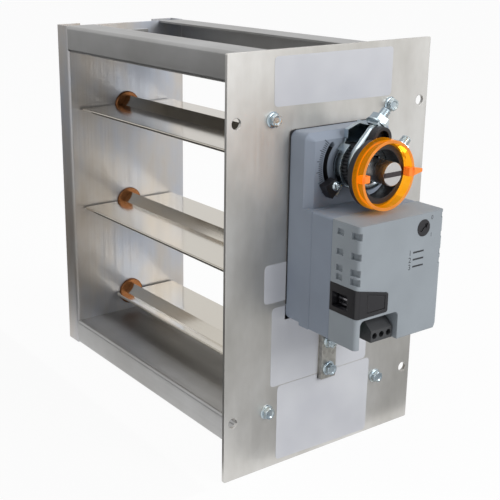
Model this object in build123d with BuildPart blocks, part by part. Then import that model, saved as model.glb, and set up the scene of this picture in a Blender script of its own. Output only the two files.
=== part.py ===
"""Volume control damper for an air duct: three parallel blades in a plug-in casing of four
channels, a side cover plate, and a rotary actuator clamped on the upper blade's shaft.

Frame: the origin is the centre of the cover plate's outer face, +X points away from the
duct, -Y is the side where the air enters, +Z is up.  Every size is in millimetres.
"""
import os
from math import cos, degrees, radians, sin, sqrt, tan

from build123d import *

os.makedirs("parts", exist_ok=True)

# ---------------------------------------------------------------- cover plate and casing
plate_height = 260.0
plate_width = 156.6
plate_thickness = 2.0
plate_corner = 1.0
plate_shaft_gap = 2.0
fixing_inset_y = 6.5
fixing_spacing_z = 182.4
fixing_hole_dia = 6.5
plate_screw_inset_y = 6.0
plate_screw_z = 182.0
screw_hole_dia = 4.8
screw_flange_dia = 10.4
screw_flange_height = 1.1
screw_flats = 8.0
screw_head_height = 3.3
screw_tip = 2.4
flange_taper = 15
tip_taper = 40
plate_screw_reach = 7.0

casing_length = 250.0
casing_depth = 104.0
airway_height = 215.0
sheet = 1.5
bend_radius = 2.2
side_flange = 17.0
side_lip = 19.4
end_flange = 19.0
end_lip = 22.8
corner_tab_width = 36.0
corner_tab_height = 12.0
rivet_dia = 3.2
rivet_spacing = 22.0
rivet_head_height = 1.0
rivet_tail_height = 1.2
rivet_tail_dia = 5.1
rivet_taper = 25

# ---------------------------------------------------------------- blades and linkage
shaft_y = -2.0
lower_axis_height = 15.5
blade_pitch = 77.75
blade_thickness = 2.2
blade_overlap = 3.25
blade_edge_radius = 0.75
floor_clearance = 1.3
hub_half_diagonal = 7.6
tang_side = 7.4
tang_length = 36.0
journal_dia = 10.0
drive_dia = 13.5
running_gap = 0.05
bush_flange_dia = 21.0
bush_flange_thickness = 2.0
bush_wall = 2.0
bush_lip = 3.5
bush_chamfer = 0.6
blade_end_gap = 0.3
stub_overrun = 1.0
stub_chamfer = 0.8
tenon_side = 7.0
tenon_head = 1.0
swage_taper = 20
shaft_chamfer = 0.4
shaft_slot_width = 2.9
shaft_slot_depth = 0.8

crank_radius = 22.0
crank_angle = -44.0
crank_thickness = 3.0
crank_hub_dia = 23.0
crank_eye_dia = 13.0
link_pin_dia = 6.0
link_pin_gap = 0.08
link_pin_tail = 0.6
link_pin_head_dia = 9.0
link_pin_head = 1.2
link_bar_width = 12.0
link_bar_thickness = 2.5
layer_gap = 0.3
clip_thickness = 0.8
clip_dia = 10.2
clip_mouth = 2.4

# ---------------------------------------------------------------- actuator housing
actuator_width = 66.0
case_rise = 20.0
block_drop = 23.5
block_height = 72.3
thin_depth = 17.0
base_depth = 21.0
middle_depth = 38.0
cover_depth = 60.0
cover_wall = 2.0
case_corner = 4.5
top_bevel = 4.3
block_root = 4.5
driver_roof = 1.5
seam_groove = 0.4
driver_dia = 30.0
spline_dia = 24.6
spline_teeth = 36
spline_height = 10.5
driver_bore = 20.0

strap_width = 12.0
strap_thickness = 3.2
strap_y = 1.2
strap_lap = 12.3
strap_length = 59.3
strap_corner = 0.5
strap_relief = 0.3
strap_first_screw = 34.0
strap_screw_pitch = 18.5
strap_screw_reach = 8.0

# ---------------------------------------------------------------- shaft clamp
clamp_angle = 45.0
clamp_gap = 0.5
clamp_wall = 1.8
clamp_back_s = 19.0
clamp_plate = 2.0
clamp_floor = 1.5
clamp_rim_thickness = 0.9
clamp_rim_height = 3.0
clamp_step_height = 2.8
clamp_crown = 2.3
band_lift = 2.0
band_height = 5.0
band_run = 4.0
wall_run = 6.3
floor_near_n = 14.5
floor_far_n = 7.5
flare_points = [(4.0, 13.6), (7.5, 14.7), (11.0, 18.2)]
spline_gap = 0.5
tongue_angle = 230.0
tongue_half_angle = 4.3
tongue_thickness = 1.8
tongue_reach = 21.5
u_bolt_dia = 6.0
u_bolt_spacing = 25.6
u_bolt_height = 14.0
u_bolt_reach = 32.0
leg_hole_gap = 0.3
leg_edge = 4.2
nut_flats = 10.0
nut_height = 5.2
nut_flange_dia = 13.2
nut_flange_height = 1.2
nut_bore_gap = 0.02
jaw_side_gap = 0.4
jaw_front_s = 3.5
jaw_gap = 0.05

# ---------------------------------------------------------------- position indicator
indicator_y = -0.6
indicator_z = -1.3
collar_gap = 0.1
collar_bore = 28.0
collar_wall = 3.0
collar_hub_height = 4.2
collar_rim_height = 3.2
collar_spigot = 2.5
collar_spigot_gap = 0.2
ear_place_radius = 19.4
ear_angle = 84.6
ear_radius = 6.7
ear_wall = 2.0
ear_pocket = 4.0
ring_dia = 40.2
ring_bore = 34.5
ring_height = 8.0
ring_foot = 0.4
ring_foot_height = 1.2
ring_tab_height = 5.3
pointer_thickness = 2.0
pointer_root_half = 2.5
pointer_tip_half = 0.9
pointer_length = 6.4
shaft_overhang = 2.5

# ---------------------------------------------------------------- end stops
slot_radius = 18.8
slot_width = 3.4
slot_depth = 4.0
slot_run_angle = 75.0
slot_end_angle = 4.0
stop_inner_radius = 16.4
stop_outer_radius = 25.0
stop_half_angle = 11.0
stop_gap_angle = 0.8
stop_height = 5.7
stop_screw_dia = 2.4
stop_screw_head_dia = 5.8
stop_screw_head = 1.6
stop_screw_reach = 3.2
travel_angle = 88.0

# ---------------------------------------------------------------- places worked out
plate_inner_x = -plate_thickness
fixing_spacing_y = plate_width - 2 * fixing_inset_y
plate_screw_y = casing_depth - 2 * plate_screw_inset_y
right_web_x = plate_inner_x - side_flange
left_lip_x = plate_inner_x - casing_length
left_web_x = left_lip_x + side_flange
casing_height = airway_height + 2 * end_flange
floor_z = -airway_height / 2
top_axis_z = floor_z + lower_axis_height + 2 * blade_pitch
axis_z = [top_axis_z - i * blade_pitch for i in range(3)]
blade_start_x = left_web_x + bush_flange_thickness + blade_end_gap
blade_end_x = right_web_x - bush_flange_thickness - blade_end_gap
blade_length = blade_end_x - blade_start_x
blade_half_chord = (blade_pitch + blade_overlap) / 2
front_reach = [blade_half_chord, blade_half_chord, lower_axis_height - floor_clearance]

right_bush_end_x = right_web_x + sheet + bush_wall
crank_x = right_bush_end_x + layer_gap
link_x = crank_x + crank_thickness + layer_gap
rivet_z = airway_height / 2 + corner_tab_height / 2 + sheet / 2

case_half = actuator_width / 2
actuator_top_z = top_axis_z + case_rise
block_top_z = top_axis_z - block_drop
actuator_bottom_z = block_top_z - block_height
block_mid_z = (block_top_z + actuator_bottom_z) / 2
strap_top_z = actuator_bottom_z + strap_lap
strap_bottom_z = strap_top_z - strap_length
strap_z = (strap_top_z + strap_bottom_z) / 2
strap_screw_places = [(strap_y, strap_top_z - strap_first_screw - i * strap_screw_pitch) for i in range(2)]
pin_dy = crank_radius * cos(radians(crank_angle))
pin_dz = crank_radius * sin(radians(crank_angle))

slot_round = degrees(slot_width / 2 / slot_radius)
stop_offset = tongue_half_angle + stop_gap_angle + stop_half_angle
left_stop_angle = tongue_angle - stop_offset
right_stop_angle = tongue_angle + travel_angle + stop_offset
leg_y = cos(radians(clamp_angle))
leg_z = sin(radians(clamp_angle))

clamp_back_x = thin_depth + clamp_gap
band_back_x = clamp_back_x + band_lift
band_front_x = band_back_x + band_height
u_bolt_plane_x = thin_depth + u_bolt_height
clamp_shelf_x = u_bolt_plane_x - u_bolt_dia / 2
clamp_step_x = clamp_shelf_x - clamp_step_height
clamp_front_x = u_bolt_plane_x + u_bolt_dia / 2 + clamp_crown
clamp_shelf_s = clamp_back_s + clamp_plate
shelf_half_n = u_bolt_spacing / 2 + leg_edge
band_inner = spline_dia / 2 + layer_gap
band_outer = band_inner + clamp_wall

collar_back_x = u_bolt_plane_x + u_bolt_dia / 2 + collar_gap
collar_rim_x = collar_back_x + collar_hub_height
collar_dia = ring_dia + ring_foot
ear_back_x = clamp_front_x + layer_gap
ring_back_x = collar_rim_x + collar_rim_height
ring_front_x = ring_back_x + ring_height
ring_tab_x = ring_front_x - ring_tab_height
pointer_back_x = ring_front_x - pointer_thickness
pointer_reach = ring_dia / 2 + pointer_length
shaft_end_x = ring_front_x + shaft_overhang


def clamp_plane(x):
    """Plane across the drive shaft at x: its X runs along the U-bolt's legs."""
    return Plane(origin=(x, shaft_y, top_axis_z), x_dir=(0, leg_y, leg_z), z_dir=(1, 0, 0))


def shaft_plane(x, z=top_axis_z):
    """Plane across a shaft at x: its X runs along +Y and its Y along +Z."""
    return Plane(origin=(x, shaft_y, z), x_dir=(0, 1, 0), z_dir=(1, 0, 0))


def turned_plane(x, angle):
    """Plane across the drive shaft at x whose X points at angle from +Y towards +Z."""
    direction = (0, cos(radians(angle)), sin(radians(angle)))
    return Plane(origin=(x, shaft_y, top_axis_z), x_dir=direction, z_dir=(1, 0, 0))


def leg_plane(s, side):
    """Plane across one leg of the U-bolt at the distance s from the shaft's axis."""
    along_n = side * u_bolt_spacing / 2
    y = shaft_y + s * leg_y - along_n * leg_z
    z = top_axis_z + s * leg_z + along_n * leg_y
    return Plane(origin=(u_bolt_plane_x, y, z), x_dir=(1, 0, 0), z_dir=(0, leg_y, leg_z))


def indicator_plane(x):
    """Plane across the position indicator at x; the indicator clips on a little low of the shaft."""
    centre = (x, shaft_y + indicator_y, top_axis_z + indicator_z)
    return Plane(origin=centre, x_dir=(0, 1, 0), z_dir=(1, 0, 0))


def channel(plane, length, depth, web, lip, bend):
    """C-section lying in plane: web along its Y at X = 0, lips returned at X = depth."""
    with BuildPart(mode=Mode.PRIVATE) as section:
        with BuildSketch(plane) as outline:
            with Locations((depth / 2, 0)):
                Rectangle(depth, web)
            fillet(outline.vertices(), bend)
            with Locations((depth / 2, 0)):
                Rectangle(depth - 2 * sheet, web - 2 * sheet, mode=Mode.SUBTRACT)
            with Locations((depth - sheet / 2, 0)):
                Rectangle(sheet * 2, web - 2 * lip, mode=Mode.SUBTRACT)
        extrude(amount=length)
    return section.part


# ================================================================ cover plate
with BuildPart() as cover_plate:
    with BuildSketch(Plane.YZ.offset(plate_inner_x)) as plate_outline:
        Rectangle(plate_width, plate_height)
        fillet(plate_outline.vertices(), plate_corner)
        with GridLocations(fixing_spacing_y, fixing_spacing_z, 2, 2):
            Circle(fixing_hole_dia / 2, mode=Mode.SUBTRACT)
        with GridLocations(plate_screw_y, plate_screw_z, 2, 2):
            Circle(screw_hole_dia / 2, mode=Mode.SUBTRACT)
        with Locations((shaft_y, top_axis_z)):
            Circle(drive_dia / 2 + plate_shaft_gap, mode=Mode.SUBTRACT)
        with Locations(strap_screw_places):
            Circle(screw_hole_dia / 2, mode=Mode.SUBTRACT)
    extrude(amount=plate_thickness)
cover_plate.part.label = "cover_plate"
export_step(cover_plate.part, "parts/cover_plate.step")

# ================================================================ casing channels
side_height_plane = -casing_height / 2
left_base = Plane(origin=(left_web_x, 0, side_height_plane), x_dir=(-1, 0, 0), z_dir=(0, 0, 1))
left_section = channel(left_base, casing_height, side_flange, casing_depth, side_lip, bend_radius)
with BuildPart() as left_side_channel:
    add(left_section)
    for z in axis_z:
        with Locations(shaft_plane(left_web_x, z)):
            Hole(journal_dia / 2 + bush_wall, depth=2 * sheet)
    with Locations(Plane.YZ.offset(left_web_x)):
        with GridLocations(rivet_spacing, 2 * rivet_z, 2, 2):
            Hole(rivet_dia / 2, depth=2 * sheet)
left_side_channel.part.label = "left_side_channel"
export_step(left_side_channel.part, "parts/left_side_channel.step")

right_base = Plane(origin=(right_web_x, 0, side_height_plane), x_dir=(1, 0, 0), z_dir=(0, 0, 1))
right_section = channel(right_base, casing_height, side_flange, casing_depth, side_lip, bend_radius)
with BuildPart() as right_side_channel:
    add(right_section)
    for z, bore in zip(axis_z, (drive_dia, journal_dia, journal_dia)):
        with Locations(shaft_plane(right_web_x, z)):
            Hole(bore / 2 + bush_wall, depth=2 * sheet)
    with Locations(Plane.YZ.offset(right_web_x)):
        with GridLocations(rivet_spacing, 2 * rivet_z, 2, 2):
            Hole(rivet_dia / 2, depth=2 * sheet)
    with Locations(Plane.YZ.offset(plate_inner_x)):
        with GridLocations(plate_screw_y, plate_screw_z, 2, 2):
            Hole(screw_hole_dia / 2, depth=2 * sheet)
right_side_channel.part.label = "right_side_channel"
export_step(right_side_channel.part, "parts/right_side_channel.step")

end_length = right_web_x - left_web_x
for side, name in ((1, "top_channel"), (-1, "bottom_channel")):
    web_plane = Plane(origin=(left_web_x, 0, side * airway_height / 2), x_dir=(0, 0, side), z_dir=(1, 0, 0))
    end_section = channel(web_plane, end_length, end_flange, casing_depth, end_lip, bend_radius)
    with BuildPart() as end_channel:
        add(end_section)
        for x in (left_web_x, right_web_x - sheet):
            with BuildSketch(Plane.YZ.offset(x)):
                with Locations((0, side * rivet_z)):
                    Rectangle(corner_tab_width, corner_tab_height + sheet)
                with Locations((0, side * rivet_z)):
                    with GridLocations(rivet_spacing, 0, 2, 1):
                        Circle(rivet_dia / 2, mode=Mode.SUBTRACT)
            extrude(amount=sheet)
    end_channel.part.label = name
    export_step(end_channel.part, f"parts/{name}.step")

with BuildPart() as casing_rivets:
    for web_x, out in ((left_web_x, -1), (right_web_x, 1)):
        for y in (-rivet_spacing / 2, rivet_spacing / 2):
            for z in (-rivet_z, rivet_z):
                tab_face = Plane(origin=(web_x - out * sheet, y, z), z_dir=(out, 0, 0))
                with BuildSketch(tab_face):
                    Circle(rivet_dia / 2)
                extrude(amount=2 * sheet)
                with BuildSketch(tab_face.offset(2 * sheet)):
                    Circle(rivet_dia)
                extrude(amount=rivet_head_height, taper=rivet_taper)
                with BuildSketch(tab_face.offset(-rivet_tail_height)):
                    Circle(rivet_tail_dia / 2)
                extrude(amount=rivet_tail_height)
casing_rivets.part.label = "casing_rivets"
export_step(casing_rivets.part, "parts/casing_rivets.step")

# ================================================================ bushes
with BuildPart() as left_bushes:
    for z in axis_z:
        with BuildSketch(shaft_plane(left_web_x, z)):
            Circle(bush_flange_dia / 2)
        extrude(amount=bush_flange_thickness)
        with BuildSketch(shaft_plane(left_web_x, z)):
            Circle(journal_dia / 2 + bush_wall)
        extrude(amount=-(sheet + bush_wall))
    chamfer(left_bushes.faces().filter_by(Axis.X).group_by(Axis.X)[-1].edges(), bush_chamfer)
    for z in axis_z:
        with Locations(shaft_plane(left_web_x, z)):
            Hole(journal_dia / 2 + running_gap, depth=4 * bush_wall)
left_bushes.part.label = "left_bushes"
export_step(left_bushes.part, "parts/left_bushes.step")

with BuildPart() as right_bushes:
    for z, bore in zip(axis_z, (drive_dia, journal_dia, journal_dia)):
        with BuildSketch(shaft_plane(right_web_x, z)):
            Circle(bore / 2 + bush_wall + bush_lip)
        extrude(amount=-bush_flange_thickness)
        with BuildSketch(shaft_plane(right_web_x, z)):
            Circle(bore / 2 + bush_wall)
        extrude(amount=sheet + bush_wall)
    chamfer(right_bushes.faces().filter_by(Axis.X).group_by(Axis.X)[0].edges(), bush_chamfer)
    for z, bore in zip(axis_z, (drive_dia, journal_dia, journal_dia)):
        with Locations(shaft_plane(right_web_x, z)):
            Hole(bore / 2 + running_gap, depth=4 * bush_wall)
right_bushes.part.label = "right_bushes"
export_step(right_bushes.part, "parts/right_bushes.step")

# ================================================================ blades
for name, z, front in zip(("upper_blade", "middle_blade", "lower_blade"), axis_z, front_reach):
    with BuildPart() as blade:
        with BuildSketch(shaft_plane(blade_start_x, z)) as blade_section:
            with Locations(((blade_half_chord - front) / 2, 0)):
                Rectangle(blade_half_chord + front, blade_thickness)
            fillet(blade_section.vertices(), blade_edge_radius)
            Rectangle(hub_half_diagonal * sqrt(2), hub_half_diagonal * sqrt(2), rotation=45)
            Rectangle(tang_side, tang_side, rotation=45, mode=Mode.SUBTRACT)
        extrude(amount=blade_length)
    blade.part.label = name
    export_step(blade.part, f"parts/{name}.step")

# ================================================================ stub shafts
left_stub_end_x = left_web_x - sheet - bush_wall - stub_overrun
for name, z in zip(("upper_left_stub", "middle_left_stub", "lower_left_stub"), axis_z):
    with BuildPart() as left_stub:
        with BuildSketch(shaft_plane(blade_start_x, z)):
            Rectangle(tang_side, tang_side, rotation=45)
        extrude(amount=tang_length)
        with BuildSketch(shaft_plane(left_stub_end_x, z)):
            Circle(journal_dia / 2)
        extrude(amount=blade_start_x - left_stub_end_x)
        chamfer(left_stub.faces().sort_by(Axis.X)[0].edges(), stub_chamfer)
    left_stub.part.label = name
    export_step(left_stub.part, f"parts/{name}.step")

for name, z in zip(("middle_right_stub", "lower_right_stub"), axis_z[1:]):
    with BuildPart() as right_stub:
        with BuildSketch(shaft_plane(blade_end_x - tang_length, z)):
            Rectangle(tang_side, tang_side, rotation=45)
        extrude(amount=tang_length)
        with BuildSketch(shaft_plane(blade_end_x, z)):
            Circle(journal_dia / 2)
        extrude(amount=crank_x - blade_end_x)
        with BuildSketch(shaft_plane(crank_x, z)):
            Rectangle(tenon_side, tenon_side)
        extrude(amount=crank_thickness)
        with BuildSketch(shaft_plane(crank_x + crank_thickness, z)):
            Circle(journal_dia / 2)
        extrude(amount=tenon_head, taper=swage_taper)
    right_stub.part.label = name
    export_step(right_stub.part, f"parts/{name}.step")

with BuildPart() as drive_shaft:
    with BuildSketch(shaft_plane(blade_end_x - tang_length)):
        Rectangle(tang_side, tang_side, rotation=45)
    extrude(amount=tang_length)
    with BuildSketch(shaft_plane(blade_end_x)):
        Circle(drive_dia / 2)
    extrude(amount=shaft_end_x - blade_end_x)
    chamfer(drive_shaft.faces().sort_by(Axis.X)[-1].edges(), shaft_chamfer)
    with BuildSketch(shaft_plane(shaft_end_x)):
        Rectangle(2 * drive_dia, shaft_slot_width)
    extrude(amount=-shaft_slot_depth, mode=Mode.SUBTRACT)
drive_shaft.part.label = "drive_shaft"
export_step(drive_shaft.part, "parts/drive_shaft.step")

# ================================================================ crank arms and link bar
crank_names = ("upper_crank", "middle_crank", "lower_crank")
for name, z, hole in zip(crank_names, axis_z, ("round", "square", "square")):
    with BuildPart() as crank:
        with BuildSketch(shaft_plane(crank_x, z)):
            Circle(crank_hub_dia / 2)
            with Locations((pin_dy, pin_dz)):
                Circle(crank_eye_dia / 2)
            make_hull()
            if hole == "round":
                Circle(drive_dia / 2, mode=Mode.SUBTRACT)
            else:
                Rectangle(tenon_side, tenon_side, mode=Mode.SUBTRACT)
            with Locations((pin_dy, pin_dz)):
                Circle(link_pin_dia / 2 + link_pin_gap, mode=Mode.SUBTRACT)
        extrude(amount=crank_thickness)
    crank.part.label = name
    export_step(crank.part, f"parts/{name}.step")

with BuildPart() as link_bar:
    with BuildSketch(shaft_plane(link_x, axis_z[1])):
        with Locations((pin_dy, pin_dz)):
            SlotCenterToCenter(2 * blade_pitch, link_bar_width, rotation=90)
        for z in axis_z:
            with Locations((pin_dy, pin_dz + z - axis_z[1])):
                Circle(link_pin_dia / 2, mode=Mode.SUBTRACT)
    extrude(amount=link_bar_thickness)
link_bar.part.label = "link_bar"
export_step(link_bar.part, "parts/link_bar.step")

pin_start_x = crank_x - layer_gap - clip_thickness - link_pin_tail
with BuildPart() as link_pins:
    for z in axis_z:
        with BuildSketch(shaft_plane(pin_start_x, z)):
            with Locations((pin_dy, pin_dz)):
                Circle(link_pin_dia / 2)
        extrude(amount=link_x + link_bar_thickness - pin_start_x)
        with BuildSketch(shaft_plane(link_x + link_bar_thickness, z)):
            with Locations((pin_dy, pin_dz)):
                Circle(link_pin_head_dia / 2)
        extrude(amount=link_pin_head, taper=swage_taper)
link_pins.part.label = "link_pins"
export_step(link_pins.part, "parts/link_pins.step")

with BuildPart() as link_clips:
    for z in axis_z:
        with BuildSketch(shaft_plane(crank_x - layer_gap - clip_thickness, z)):
            with Locations((pin_dy, pin_dz)):
                Circle(clip_dia / 2)
                Circle(link_pin_dia / 2, mode=Mode.SUBTRACT)
            with Locations((pin_dy + clip_dia / 2, pin_dz)):
                Rectangle(clip_dia, clip_mouth, mode=Mode.SUBTRACT)
        extrude(amount=clip_thickness)
link_clips.part.label = "link_clips"
export_step(link_clips.part, "parts/link_clips.step")


# ================================================================ screws of plate and strap
def hex_screws(places, head_x, reach):
    """Self-tapping hexagon flange screws: heads on the plane x = head_x, driven towards -X."""
    with BuildPart(mode=Mode.PRIVATE) as screws:
        for y, z in places:
            seat = Plane(origin=(head_x, y, z), x_dir=(0, 1, 0), z_dir=(1, 0, 0))
            with BuildSketch(seat):
                Circle(screw_flange_dia / 2)
            extrude(amount=screw_flange_height, taper=flange_taper)
            with BuildSketch(seat.offset(screw_flange_height)):
                RegularPolygon(screw_flats / 2, 6, major_radius=False)
            extrude(amount=screw_head_height)
            with BuildSketch(seat):
                Circle(screw_hole_dia / 2)
            extrude(amount=-reach)
            with BuildSketch(seat.offset(-reach)):
                Circle(screw_hole_dia / 2)
            extrude(amount=-screw_tip, taper=tip_taper)
    return screws.part


plate_screw_places = [(y * plate_screw_y / 2, z * plate_screw_z / 2) for y in (-1, 1) for z in (-1, 1)]
plate_screw_set = hex_screws(plate_screw_places, 0.0, plate_screw_reach)
with BuildPart() as plate_screws:
    add(plate_screw_set)
plate_screws.part.label = "plate_screws"
export_step(plate_screws.part, "parts/plate_screws.step")

# ================================================================ anti-rotation strap
with BuildPart() as anti_rotation_strap:
    with BuildSketch(Plane.YZ) as strap_outline:
        with Locations((strap_y, strap_z)):
            Rectangle(strap_width, strap_top_z - strap_bottom_z)
        fillet(strap_outline.vertices(), strap_corner)
        with Locations(strap_screw_places):
            Circle(screw_hole_dia / 2, mode=Mode.SUBTRACT)
    extrude(amount=strap_thickness)
anti_rotation_strap.part.label = "anti_rotation_strap"
export_step(anti_rotation_strap.part, "parts/anti_rotation_strap.step")

strap_screw_set = hex_screws(strap_screw_places, strap_thickness, strap_screw_reach)
with BuildPart() as strap_screws:
    add(strap_screw_set)
strap_screws.part.label = "strap_screws"
export_step(strap_screws.part, "parts/strap_screws.step")

# ================================================================ actuator base
with BuildPart() as actuator_base:
    with BuildSketch(Plane.YZ) as base_outline:
        with Locations((0, (actuator_top_z + actuator_bottom_z) / 2)):
            Rectangle(actuator_width, actuator_top_z - actuator_bottom_z)
        fillet(base_outline.vertices().group_by(Axis.Z)[-1], case_corner)
    extrude(amount=thin_depth)
    front = actuator_base.faces().sort_by(Axis.X)[-1]
    rim = [edge for edge in front.edges() if edge.center().Z > block_top_z]
    chamfer(rim, top_bevel)
    with BuildSketch(Plane.YZ.offset(thin_depth - block_root)):
        with Locations((0, block_mid_z)):
            Rectangle(actuator_width, block_height)
    extrude(amount=base_depth - thin_depth + block_root)
    chamfer(actuator_base.faces().sort_by(Axis.X)[-1].edges(), seam_groove)
    with BuildSketch(shaft_plane(0)):
        Circle(driver_dia / 2 + running_gap)
    extrude(amount=thin_depth - driver_roof, mode=Mode.SUBTRACT)
    with BuildSketch(shaft_plane(thin_depth - driver_roof)):
        Circle(spline_dia / 2 + layer_gap)
    extrude(amount=driver_roof, mode=Mode.SUBTRACT)
    for first in (left_stop_angle - slot_run_angle, right_stop_angle - slot_end_angle):
        last = first + slot_run_angle + slot_end_angle
        with BuildSketch(shaft_plane(thin_depth)):
            with BuildLine():
                inner = CenterArc((0, 0), slot_radius - slot_width / 2, first, last - first)
                outer = CenterArc((0, 0), slot_radius + slot_width / 2, first, last - first)
                for end, angle, out in ((0, first, -slot_round), (1, last, slot_round)):
                    tip = radians(angle + out)
                    ThreePointArc(inner @ end, (slot_radius * cos(tip), slot_radius * sin(tip)), outer @ end)
            make_face()
        extrude(amount=-slot_depth, mode=Mode.SUBTRACT)
    with BuildSketch(Plane.YZ):
        with Locations((strap_y, strap_z)):
            Rectangle(strap_width + 2 * strap_relief, strap_top_z - strap_bottom_z + 2 * strap_relief)
    extrude(amount=strap_thickness + strap_relief, mode=Mode.SUBTRACT)
actuator_base.part.label = "actuator_base"
export_step(actuator_base.part, "parts/actuator_base.step")

# ================================================================ middle shell and board
shell_corner = 1.2
boss_dia = 5.0
boss_inset = 6.0
boss_lift = 5.8
board_lift = 6.0
board_thickness = 1.6
board_gap = 1.0
board_low_gap = 1.3
board_notch_gap = 1.1
board_notch_low_gap = 0.9
surround_corner = 1.5
surround_points = [(-case_half, block_top_z - 36.6), (-9.1, block_top_z - 42.0),
                   (-9.1, block_top_z - 53.4), (-case_half, block_top_z - 53.6)]

boss_y = case_half - boss_inset
boss_top_z = block_top_z - boss_inset
boss_bottom_z = actuator_bottom_z + boss_lift
board_x = middle_depth + board_lift
board_half = case_half - cover_wall - board_gap
board_top_z = block_top_z - cover_wall - board_gap
board_bottom_z = actuator_bottom_z + cover_wall + board_low_gap
board_notch_y = surround_points[1][0] + board_notch_gap
board_notch_top_z = surround_points[0][1] + board_notch_gap
board_notch_bottom_z = surround_points[-1][1] - board_notch_low_gap
with BuildPart() as middle_shell:
    with BuildSketch(Plane.YZ.offset(base_depth)) as shell_outline:
        with Locations((0, block_mid_z)):
            Rectangle(actuator_width, block_height)
        fillet(shell_outline.vertices(), shell_corner)
    extrude(amount=middle_depth - base_depth)
    chamfer(middle_shell.faces().sort_by(Axis.X)[-1].edges(), seam_groove)
    chamfer(middle_shell.faces().sort_by(Axis.X)[0].edges(), seam_groove)
    with BuildSketch(Plane.YZ.offset(middle_depth)):
        with Locations([(y, z) for y in (-boss_y, boss_y) for z in (boss_bottom_z, boss_top_z)]):
            Circle(boss_dia / 2)
    extrude(amount=board_x - middle_depth)
middle_shell.part.label = "middle_shell"
export_step(middle_shell.part, "parts/middle_shell.step")

with BuildPart() as circuit_board:
    with BuildSketch(Plane.YZ.offset(board_x)):
        with Locations((-board_half, board_bottom_z)):
            Rectangle(2 * board_half, board_top_z - board_bottom_z, align=(Align.MIN, Align.MIN))
        with Locations((board_notch_y, board_notch_bottom_z)):
            Rectangle(case_half, board_notch_top_z - board_notch_bottom_z, align=(Align.MAX, Align.MIN),
                      mode=Mode.SUBTRACT)
    extrude(amount=board_thickness)
circuit_board.part.label = "circuit_board"
export_step(circuit_board.part, "parts/circuit_board.step")

# ================================================================ actuator cover
well_side = 3.5
well_length = 29.5
well_height = 17.1
well_corner = 3.0
surround_gap = 0.1
surround_proud = 0.4
dial_y = 16.5
dial_drop = 8.5
dial_dia = 9.8
dial_gap = 0.1
cover_front_corner = 2.2
low_bevel_y = 5.0
low_bevel_z = 2.7
vent_depth = 1.5
vent_height = 4.0
vent_front_run = 2.0
vent_side_run = 6.0
vent_slot_inset = 7.0
vent_slot_length = 5.1
vent_slot_height = 3.5
left_vent_drops = (6.0, 17.5, 27.0, 32.3)
right_vent_drops = (3.0, 14.5, 25.0, 30.5)
right_vent_run = 2.5
right_vent_height = 3.3
board_front_x = board_x + board_thickness
well_floor_x = board_front_x + layer_gap
well_left_y = -case_half + well_side
well_right_y = well_left_y + well_length
well_top_z = actuator_bottom_z + well_height
dial_z = block_top_z - dial_drop
with BuildPart() as actuator_cover:
    with BuildSketch(Plane.YZ.offset(middle_depth)) as cover_outline:
        with Locations((0, block_mid_z)):
            Rectangle(actuator_width, block_height)
        right_low = cover_outline.vertices().group_by(Axis.Y)[0].sort_by(Axis.X)[-1]
        chamfer(right_low, low_bevel_z, low_bevel_y)
    extrude(amount=cover_depth - middle_depth)
    chamfer(actuator_cover.faces().sort_by(Axis.X)[0].edges(), seam_groove)
    upright = actuator_cover.edges().filter_by(Axis.Z).group_by(Axis.X)[-1]
    fillet(upright, cover_front_corner)
    with BuildSketch(Plane.YZ.offset(middle_depth)):
        with Locations((0, block_mid_z)):
            Rectangle(actuator_width - 2 * cover_wall, block_height - 2 * cover_wall)
        with Locations((well_left_y - cover_wall, actuator_bottom_z)):
            Rectangle(well_right_y - well_left_y + 2 * cover_wall,
                      well_top_z - actuator_bottom_z + cover_wall,
                      align=(Align.MIN, Align.MIN), mode=Mode.SUBTRACT)
    extrude(amount=cover_depth - cover_wall - middle_depth, mode=Mode.SUBTRACT)
    with BuildSketch(Plane.YZ.offset(middle_depth)):
        with Locations((-case_half + cover_wall, actuator_bottom_z + cover_wall)):
            Rectangle(actuator_width - 2 * cover_wall, block_height / 2, align=(Align.MIN, Align.MIN))
    extrude(amount=well_floor_x - middle_depth, mode=Mode.SUBTRACT)
    with BuildSketch(Plane.YZ.offset(cover_depth)) as well_outline:
        with Locations((well_left_y, actuator_bottom_z - cover_wall)):
            Rectangle(well_right_y - well_left_y, well_top_z - actuator_bottom_z + cover_wall,
                      align=(Align.MIN, Align.MIN))
        fillet(well_outline.vertices().group_by(Axis.Y)[-1], well_corner)
    extrude(amount=well_floor_x - cover_depth, mode=Mode.SUBTRACT)
    with BuildSketch(Plane.YZ.offset(cover_depth)) as surround_hole:
        with BuildLine():
            Polyline(*surround_points, close=True)
        make_face()
        fillet(surround_hole.vertices().group_by(Axis.X)[-1], surround_corner)
        offset(amount=surround_gap)
    extrude(amount=middle_depth - cover_depth, mode=Mode.SUBTRACT)
    with Locations(Plane(origin=(cover_depth, dial_y, dial_z), x_dir=(0, 1, 0), z_dir=(1, 0, 0))):
        Hole(dial_dia / 2 + dial_gap, depth=2 * cover_wall)
    for drop in left_vent_drops:
        with BuildSketch(Plane.YZ.offset(cover_depth)):
            with Locations((-case_half, block_top_z - drop)):
                Rectangle(2 * vent_front_run, vent_height)
        extrude(amount=-vent_side_run, mode=Mode.SUBTRACT)
        with BuildSketch(Plane.XZ.offset(case_half)):
            with Locations((cover_depth, block_top_z - drop)):
                Rectangle(2 * vent_side_run, vent_height)
            with Locations((middle_depth + vent_slot_inset, block_top_z - drop)):
                Rectangle(vent_slot_length, vent_slot_height)
        extrude(amount=-vent_depth, mode=Mode.SUBTRACT)
    for drop in right_vent_drops:
        with BuildSketch(Plane.YZ.offset(cover_depth)):
            with Locations((case_half, block_top_z - drop)):
                Rectangle(2 * right_vent_run, right_vent_height)
        extrude(amount=-vent_depth, mode=Mode.SUBTRACT)
actuator_cover.part.label = "actuator_cover"
export_step(actuator_cover.part, "parts/actuator_cover.step")

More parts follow.
